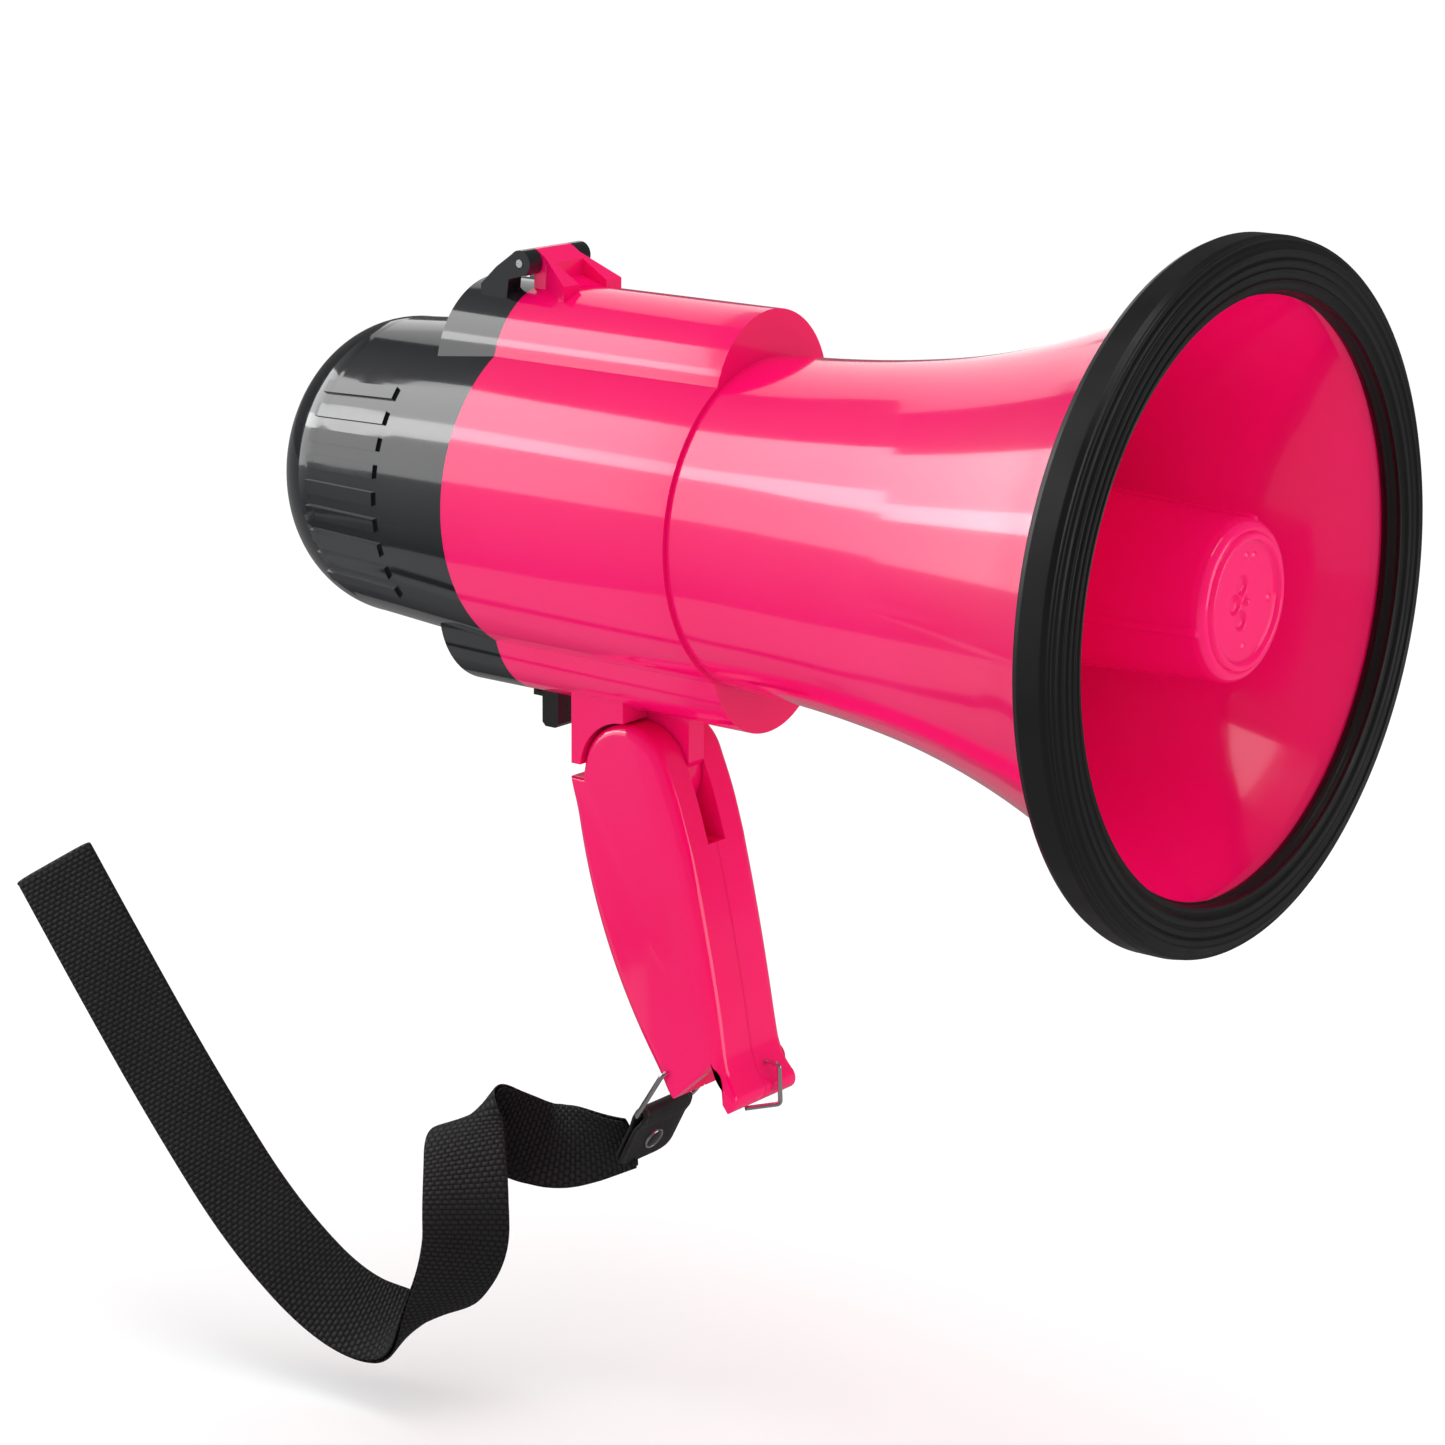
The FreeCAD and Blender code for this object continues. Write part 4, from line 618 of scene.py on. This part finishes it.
for (down, out), (side_down, side_out) in zip(tab_middle, tab_side):
    cut_in = np.clip((down - (tab_long - end_round)) / end_round, 0.0, 1.0)
    half = (tab_half * (0.93 + 0.07 * min(1.0, max(down, 0.0) / 0.004))
            - end_round * (1 - math.sqrt(1 - cut_in**2)))
    stitch = np.exp(-((np.abs(edge_y) * half - (half - stitch_inset)) / 0.0004) ** 2)
    thick = tab_layer / 2 * (1 - 0.16 * stitch)
    lift = edge_t * thick
    points = (bar + np.outer(down + side_down * lift, tab_down)
              + np.outer(out + side_out * lift, tab_out))
    points[:, 1] = edge_y * half
    tab_rows.append(points)
    downs, halves = np.full(tab_columns, down), np.full(tab_columns, half)
    tab_marks.append(np.stack([downs, edge_y * half, halves], axis=-1))


def stitched(name):
    """Black leatherette: fine pebbled grain, and a row of short stitches near each edge."""
    finish = Finish(name)
    lay = finish.node("Attribute", {}, output="Vector", attribute_name="lay")
    down, across, half = (finish.node("SeparateXYZ", {"Vector": lay}, output=axis) for axis in range(3))
    from_edge = half - finish.math("ABSOLUTE", across)
    on_row = finish.node("Math", {0: from_edge, 1: stitch_inset, 2: 0.00028}, operation="COMPARE")
    dash = finish.math("LESS_THAN", finish.math("FRACT", down / 0.0021), 0.72)
    thread = on_row * dash
    grain = finish.noise(2400.0, 4.0)
    worn = finish.between(0.0, 1.0, finish.noise(120.0, 3.0))
    leather = finish.tint(worn, (0.006, 0.006, 0.007, 1.0), (0.014, 0.014, 0.015, 1.0))
    return finish.end(
        Base_Color=finish.tint(thread, leather, (0.030, 0.030, 0.032, 1.0)),
        Roughness=0.62 - 0.14 * grain,
        Normal=finish.bump(grain + thread * 1.6, 0.8, 0.00022),
    )


leatherette = stitched("black_leatherette")
tab = surface("strap_tab_fold", np.array(tab_rows), leatherette, "lanyard", filled_ends=True, crease=70)
write_vectors(tab, "lay", tab_marks)
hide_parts("strap_tab")


def metal(name, colour, shade, roughness, brushing=(1.0, 1.0, 1.0)):
    """Bare metal: two tones in slow patches, scratches drawn out by brushing, and uneven polish."""
    finish = Finish(name, Metallic=1.0)
    patch = finish.between(0.0, 1.0, finish.noise(55.0, 3.0))
    scratch = finish.noise(1500.0, 5.0, brushing)
    return finish.end(
        Base_Color=finish.tint(patch, colour, shade),
        Roughness=finish.between(roughness * 0.7, roughness * 1.4, scratch),
        Normal=finish.bump(scratch, 0.3, 0.00002),
    )


nickel = metal("nickel_plate", (0.74, 0.72, 0.68, 1.0), (0.60, 0.58, 0.55, 1.0), 0.20)
stud_section = [
    (0.0, 0.0010), (0.0008, 0.00097), (0.0016, 0.00086), (0.0022, 0.00066), (0.0025, 0.00046),
    (0.00256, 0.0004), (0.00266, 0.00052), (0.0029, 0.0006), (0.0031, 0.00042), (0.00315, 0.0),
    (0.0, -0.0001),
]
stud_turns = np.linspace(0.0, 2 * np.pi, 48, endpoint=False)
stud_black = moulded("stud_cap", (0.012, 0.012, 0.013, 1.0), (0.018, 0.018, 0.020, 1.0), 0.16, 0.00001)
stud_middle = bar + tab_down * 0.010
stud_circle = np.outer(np.cos(stud_turns), (0, 1, 0)) + np.outer(np.sin(stud_turns), tab_down)
nickel_from = 0.0026
for side in (1, -1):
    grid = []
    for radius, height in stud_section:
        centre = stud_middle + tab_out * side * (tab_layer * 1.01 + height)
        grid.append(centre + radius * stud_circle)
    stud_name = "tab_stud_front" if side > 0 else "tab_stud_back"
    stud = surface(stud_name, np.array(grid), stud_black, "lanyard", crease=50)
    stud.data.materials.append(nickel)
    for face in stud.data.polygons:
        place = np.array(face.center) - stud_middle
        reach = np.linalg.norm(place - tab_out * (place @ tab_out))
        face.material_index = int(reach > nickel_from)
    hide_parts("tab_rivet")


# ---------------------------------------------------------------- housing, rear cover and latch
# The housing is pink ABS, glued to the bell. The rear cover is glossy black ABS on a hinge pin,
# held by a latch on two trunnions; both are drawn straight from the frame.

def paint(material, *names):
    """Gives CAD nodes their material."""
    for name in names:
        slots = nodes[name].data.materials
        slots.clear()
        slots.append(material)


paint(pink, "main_housing", "throat_tube")
paint(black, "rear_cover")
tool_black = moulded(
    "tool_black_plastic", (0.006, 0.006, 0.007, 1.0), (0.010, 0.010, 0.012, 1.0), 0.28, 0.00004,
)
paint(tool_black, "cover_latch", "volume_knob", "microphone_boot")


# ---------------------------------------------------------------- metal parts
# Turned, drawn and stamped metal: zinc-plated screws and pins, nickel contact springs, the
# polished ring of the strap, the staple in the toe and the bright cans of the electronics.

zinc = metal("zinc_plate", (0.62, 0.63, 0.66, 1.0), (0.50, 0.50, 0.47, 1.0), 0.30, (0.1, 1.0, 1.0))
wire = metal("polished_wire", (0.82, 0.82, 0.83, 1.0), (0.70, 0.70, 0.71, 1.0), 0.12, (1.0, 0.15, 1.0))
can = metal("drawn_can", (0.70, 0.71, 0.73, 1.0), (0.58, 0.58, 0.60, 1.0), 0.24, (0.1, 1.0, 1.0))
steel = metal("machined_steel", (0.45, 0.45, 0.47, 1.0), (0.36, 0.36, 0.37, 1.0), 0.36)
paint(zinc, "driver_screws", "plate_screws", "board_screws", "handle_screws", "pivot_pin", "hinge_pin")
paint(nickel, "front_contacts", "cover_contacts")
paint(wire, "strap_ring", "toe_wire")
paint(can, "microphone_capsule", "volume_pot", "volume_shaft")
paint(steel, "driver_top_plate", "driver_pole_plate", "microphone_grille")


# ---------------------------------------------------------------- batteries and their tray
# Four cells in printed sleeves with generic bands, in a moulded grey tray, behind a bulkhead.

def ringed(name, first, second, gap, share, roughness, metallic):
    """A finish in even rings along the horn's axis: share of each gap is the first colour. Faces that
    look along the axis are bare steel."""
    finish = Finish(name, Metallic=metallic)
    along = finish.node("SeparateXYZ", {"Vector": finish.place()}, output=0)
    ring_on = finish.math("LESS_THAN", finish.math("FRACT", along / gap), share)
    wear = finish.noise(300.0, 4.0)
    normal = finish.node("TexCoord", {}, output="Normal")
    facing = finish.node("SeparateXYZ", {"Vector": normal}, output=0)
    bare_end = finish.math("GREATER_THAN", finish.math("ABSOLUTE", facing), 0.9)
    return finish.end(
        Base_Color=finish.tint(bare_end, finish.tint(ring_on, second, first), (0.55, 0.55, 0.56, 1.0)),
        Roughness=finish.between(roughness * 0.7, roughness * 1.3, wear),
        Normal=finish.bump(wear * 0.4 + ring_on, 0.3, 0.00004),
    )


cell_sleeve = ringed("cell_sleeve", (0.60, 0.20, 0.03, 1.0), (0.012, 0.012, 0.014, 1.0),
                     gap=0.034, share=0.30, roughness=0.25, metallic=0.35)
coil_wire = ringed("coil_winding", (0.55, 0.20, 0.07, 1.0), (0.30, 0.09, 0.03, 1.0),
                   gap=0.0004, share=0.6, roughness=0.35, metallic=0.9)
tray_grey = moulded("tray_plastic", (0.030, 0.031, 0.034, 1.0), (0.022, 0.023, 0.025, 1.0), 0.42, 0.00008)
paint(cell_sleeve, "battery_cell_top", "battery_cell_bottom", "battery_cell_left", "battery_cell_right")
paint(tray_grey, "battery_tray", "bay_bulkhead", "cover_plate")


# ---------------------------------------------------------------- driver
# A compression driver: steel plates on a ferrite ring, a copper voice coil, a polyester
# diaphragm and a moulded cap.

ferrite = moulded("ferrite", (0.020, 0.020, 0.022, 1.0), (0.034, 0.033, 0.034, 1.0), 0.62, 0.00016)
film = moulded("diaphragm_film", (0.46, 0.34, 0.16, 1.0), (0.40, 0.28, 0.12, 1.0), 0.22, 0.00003)
paint(ferrite, "driver_magnet")
paint(film, "driver_diaphragm")
paint(coil_wire, "voice_coil")
paint(tray_grey, "driver_cap")


# ---------------------------------------------------------------- circuit board and controls
# A green fibreglass board with copper tracks under its lacquer, black component cases, a red
# talk button and a pale slide switch.

def lacquered(name):
    """Circuit board: tracks under green lacquer, in lanes that run one way or the other by blocks of
    a noise."""
    finish = Finish(name, Coat_Weight=0.4, Coat_Roughness=0.1)
    place = finish.place()
    sideways, upright = (finish.node("SeparateXYZ", {"Vector": place}, output=axis) for axis in (1, 2))
    lane = finish.math("LESS_THAN", finish.math("FRACT", sideways / 0.0024), 0.45)
    block = finish.math("GREATER_THAN", finish.noise(160.0, 0.0), 0.5)
    cross = finish.math("LESS_THAN", finish.math("FRACT", upright / 0.0031), 0.4)
    track = lane * block + cross * (1.0 - block)
    return finish.end(
        Base_Color=finish.tint(track, (0.006, 0.055, 0.022, 1.0), (0.022, 0.130, 0.045, 1.0)),
        Roughness=finish.between(0.25, 0.4, finish.noise(500.0, 3.0)),
        Normal=finish.bump(track, 0.5, 0.00006),
    )


board = lacquered("circuit_board")
cases = moulded("component_cases", (0.014, 0.014, 0.015, 1.0), (0.024, 0.024, 0.026, 1.0), 0.5, 0.00006)
button_red = moulded("button_plastic", (0.42, 0.006, 0.008, 1.0), (0.34, 0.004, 0.006, 1.0), 0.30, 0.00004)
slider_white = moulded("slider_plastic", (0.55, 0.55, 0.53, 1.0), (0.48, 0.48, 0.46, 1.0), 0.35, 0.00004)
paint(board, "amplifier_board")
paint(cases, "board_components", "mode_switch", "talk_switch")
paint(button_red, "talk_button")

spring_low, spring_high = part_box("talk_spring")
spring_middle = (spring_low + spring_high) / 2
spring_wire, spring_radius, spring_turns, spring_steps = 0.00022, 0.0031, 3.5, 169
wound = np.linspace(0.0, 1.0, spring_steps)
swing = 2 * np.pi * spring_turns * wound
flat_share = 0.14
climb = np.clip((wound - flat_share) / (1 - 2 * flat_share), 0.0, 1.0)
coil_out = np.stack([np.zeros(spring_steps), np.cos(swing), np.sin(swing)], axis=-1)
coil_line = spring_radius * coil_out + (0.0, spring_middle.y, spring_middle.z)
coil_line[:, 0] = spring_low.x + spring_wire + (spring_high.x - spring_low.x - 2 * spring_wire) * climb
coil_up = np.cross(unit(np.gradient(coil_line, axis=0)), coil_out)
around = np.linspace(0.0, 2 * np.pi, 12, endpoint=False)[None, :, None]
coil_round = np.cos(around) * coil_out[:, None] + np.sin(around) * coil_up[:, None]
coil_grid = coil_line[:, None] + spring_wire * coil_round
talk_coil = surface("talk_spring_coil", coil_grid, nickel, "cover", filled_ends=True)
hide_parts("talk_spring")
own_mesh(talk_coil)
paint(slider_white, "mode_slider")


# ---------------------------------------------------------------- floor and lights
# A white sweep under an even white sky lights the matt share. Mirror-like paths see both dim,
# so that the gloss comes from one long curved light laid out along the horn's flank.

world = bpy.data.worlds.new("studio")
world.use_nodes = True
sky_tree = world.node_tree
sky = sky_tree.nodes["Background"]
sky.inputs["Color"].default_value = (1.0, 1.0, 1.0, 1.0)
rays = sky_tree.nodes.new("ShaderNodeLightPath")
sky_level = sky_tree.nodes.new("ShaderNodeMapRange")
sky_level.inputs["To Min"].default_value = 1.0
sky_level.inputs["To Max"].default_value = 0.10
sky_tree.links.new(rays.outputs["Is Glossy Ray"], sky_level.inputs["Value"])
sky_tree.links.new(sky_level.outputs["Result"], sky.inputs["Strength"])
scene.world = world


def sheet_mesh(name, points, faces, material):
    """A sheet that belongs to the set, not to the product."""
    mesh = bpy.data.meshes.new(name)
    mesh.from_pydata(points, [], faces)
    mesh.materials.append(material)
    made = bpy.data.objects.new(name, mesh)
    scene.collection.objects.link(made)
    return made


floor_paint = Finish("floor_paint", Roughness=1.0, Specular_IOR_Level=0.0)
mirrored = floor_paint.node("LightPath", {}, output="Is Glossy Ray")
floor_tone = floor_paint.tint(mirrored, (1.0, 1.0, 1.0, 1.0), (0.2, 0.2, 0.2, 1.0))
floor_z, floor_half = -0.135, 8
floor_corners = [(x * floor_half, y * floor_half, floor_z) for x, y in ((-1, -1), (1, -1), (1, 1), (-1, 1))]
sheet_mesh("floor", floor_corners, [(0, 1, 2, 3)], floor_paint.end(Base_Color=floor_tone))

# where the flank's bands part, in degrees above the near side: rows at places along X
band_places = np.array([-0.140, 0.045, 0.068, 0.094, 0.121, 0.150])
band_edges = np.array([
    (-53, -15, 11, 24.5, 28.5, 41, 57, 88), (-53, -15, 11, 24.5, 28.5, 41.5, 59, 88),
    (-50, -14, 10.5, 23, 28.5, 41.5, 60, 88), (-47, -11, 10, 22, 28, 41, 58, 88),
    (-37, -7, 9.5, 21, 26, 39, 55, 88), (-28, -3, 9.5, 20, 24, 37, 50, 86),
], float)
# each band's radiance at its lower and its upper edge
band_glow = [(0.04, 0.5), (0.10, 0.6), (2.3, 2.3), (6.8, 6.8), (3.8, 3.8), (0.4, 0.10), (0.8, 1.2)]


def flank_light():
    """A sheet placed so that the flank mirrors it towards the camera: each point of the flank sends
    the line of sight on along its mirrored direction, and the sheet stands farthest out along it, or
    just above the floor."""
    farthest, housing_radius, step, across_count = 0.9, 0.0413, 0.002, 7
    points, glows, faces = [], [], []
    eye = np.array(camera.location)
    stations = np.concatenate([np.linspace(-0.14, 0.03, 6), np.linspace(0.04, 0.154, 24)])
    profile = np.vstack([[(-0.14, housing_radius), (seam_x, housing_radius)], bell_outside])
    for band, (low_glow, high_glow) in enumerate(band_glow):
        start = len(points)
        for x in stations:
            before, radius, after = np.interp((x - step, x, x + step), profile[:, 0], profile[:, 1])
            tilt = (after - before) / (2 * step) if x > seam_x + 2 * step else 0.0
            low, high = (np.interp(x, band_places, band_edges[:, edge]) for edge in (band, band + 1))
            for share in np.linspace(0.0, 1.0, across_count):
                slope = np.radians(low + (high - low) * share)
                normal = unit(np.array([-tilt, -np.cos(slope), np.sin(slope)]))
                place = np.array([x, -radius * np.cos(slope), axis_z + radius * np.sin(slope)])
                sight = unit(place - eye)
                onward = sight - 2 * (sight @ normal) * normal
                reach = farthest
                if onward[2] <= -0.02:
                    reach = min(farthest, 0.97 * (place[2] - floor_z - step) / -onward[2])
                points.append(place + onward * reach)
                glows.append(low_glow + (high_glow - low_glow) * share)
        for row in range(len(stations) - 1):
            for column in range(across_count - 1):
                corner = start + row * across_count + column
                faces.append((corner, corner + 1, corner + across_count + 1, corner + across_count))
    glow_paint = Finish("flank_light_paint", Roughness=1.0, Specular_IOR_Level=0.0, Emission_Strength=1.0)
    glow = glow_paint.node("Attribute", {}, output="Color", attribute_name="glow")
    sheet = sheet_mesh("flank_light", [tuple(point) for point in points], faces,
                       glow_paint.end(Base_Color=(0.0, 0.0, 0.0, 1.0), Emission_Color=glow))
    write_vectors(sheet, "glow", np.repeat(glows, 3))
    sheet.visible_camera = sheet.visible_diffuse = sheet.visible_shadow = False


flank_light()


def lamp(name, place, aim, size, power):
    """A soft box for matt and glossy surfaces alike: a square lamp at a place, turned to a point."""
    data = bpy.data.lights.new(name, "AREA")
    data.size = size
    data.energy = power
    made = bpy.data.objects.new(name, data)
    facing = (Vector(aim) - Vector(place)).to_track_quat("-Z", "Y")
    made.matrix_world = Matrix.Translation(place) @ facing.to_matrix().to_4x4()
    scene.collection.objects.link(made)


lamp("mouth_box", (1.30, 0.55, 0.15), (0.15, 0.0, 0.10), 0.7, 2.5)
lamp("top_fill", (0.10, -0.20, 1.50), (0.05, 0.0, 0.05), 0.8, 4.0)
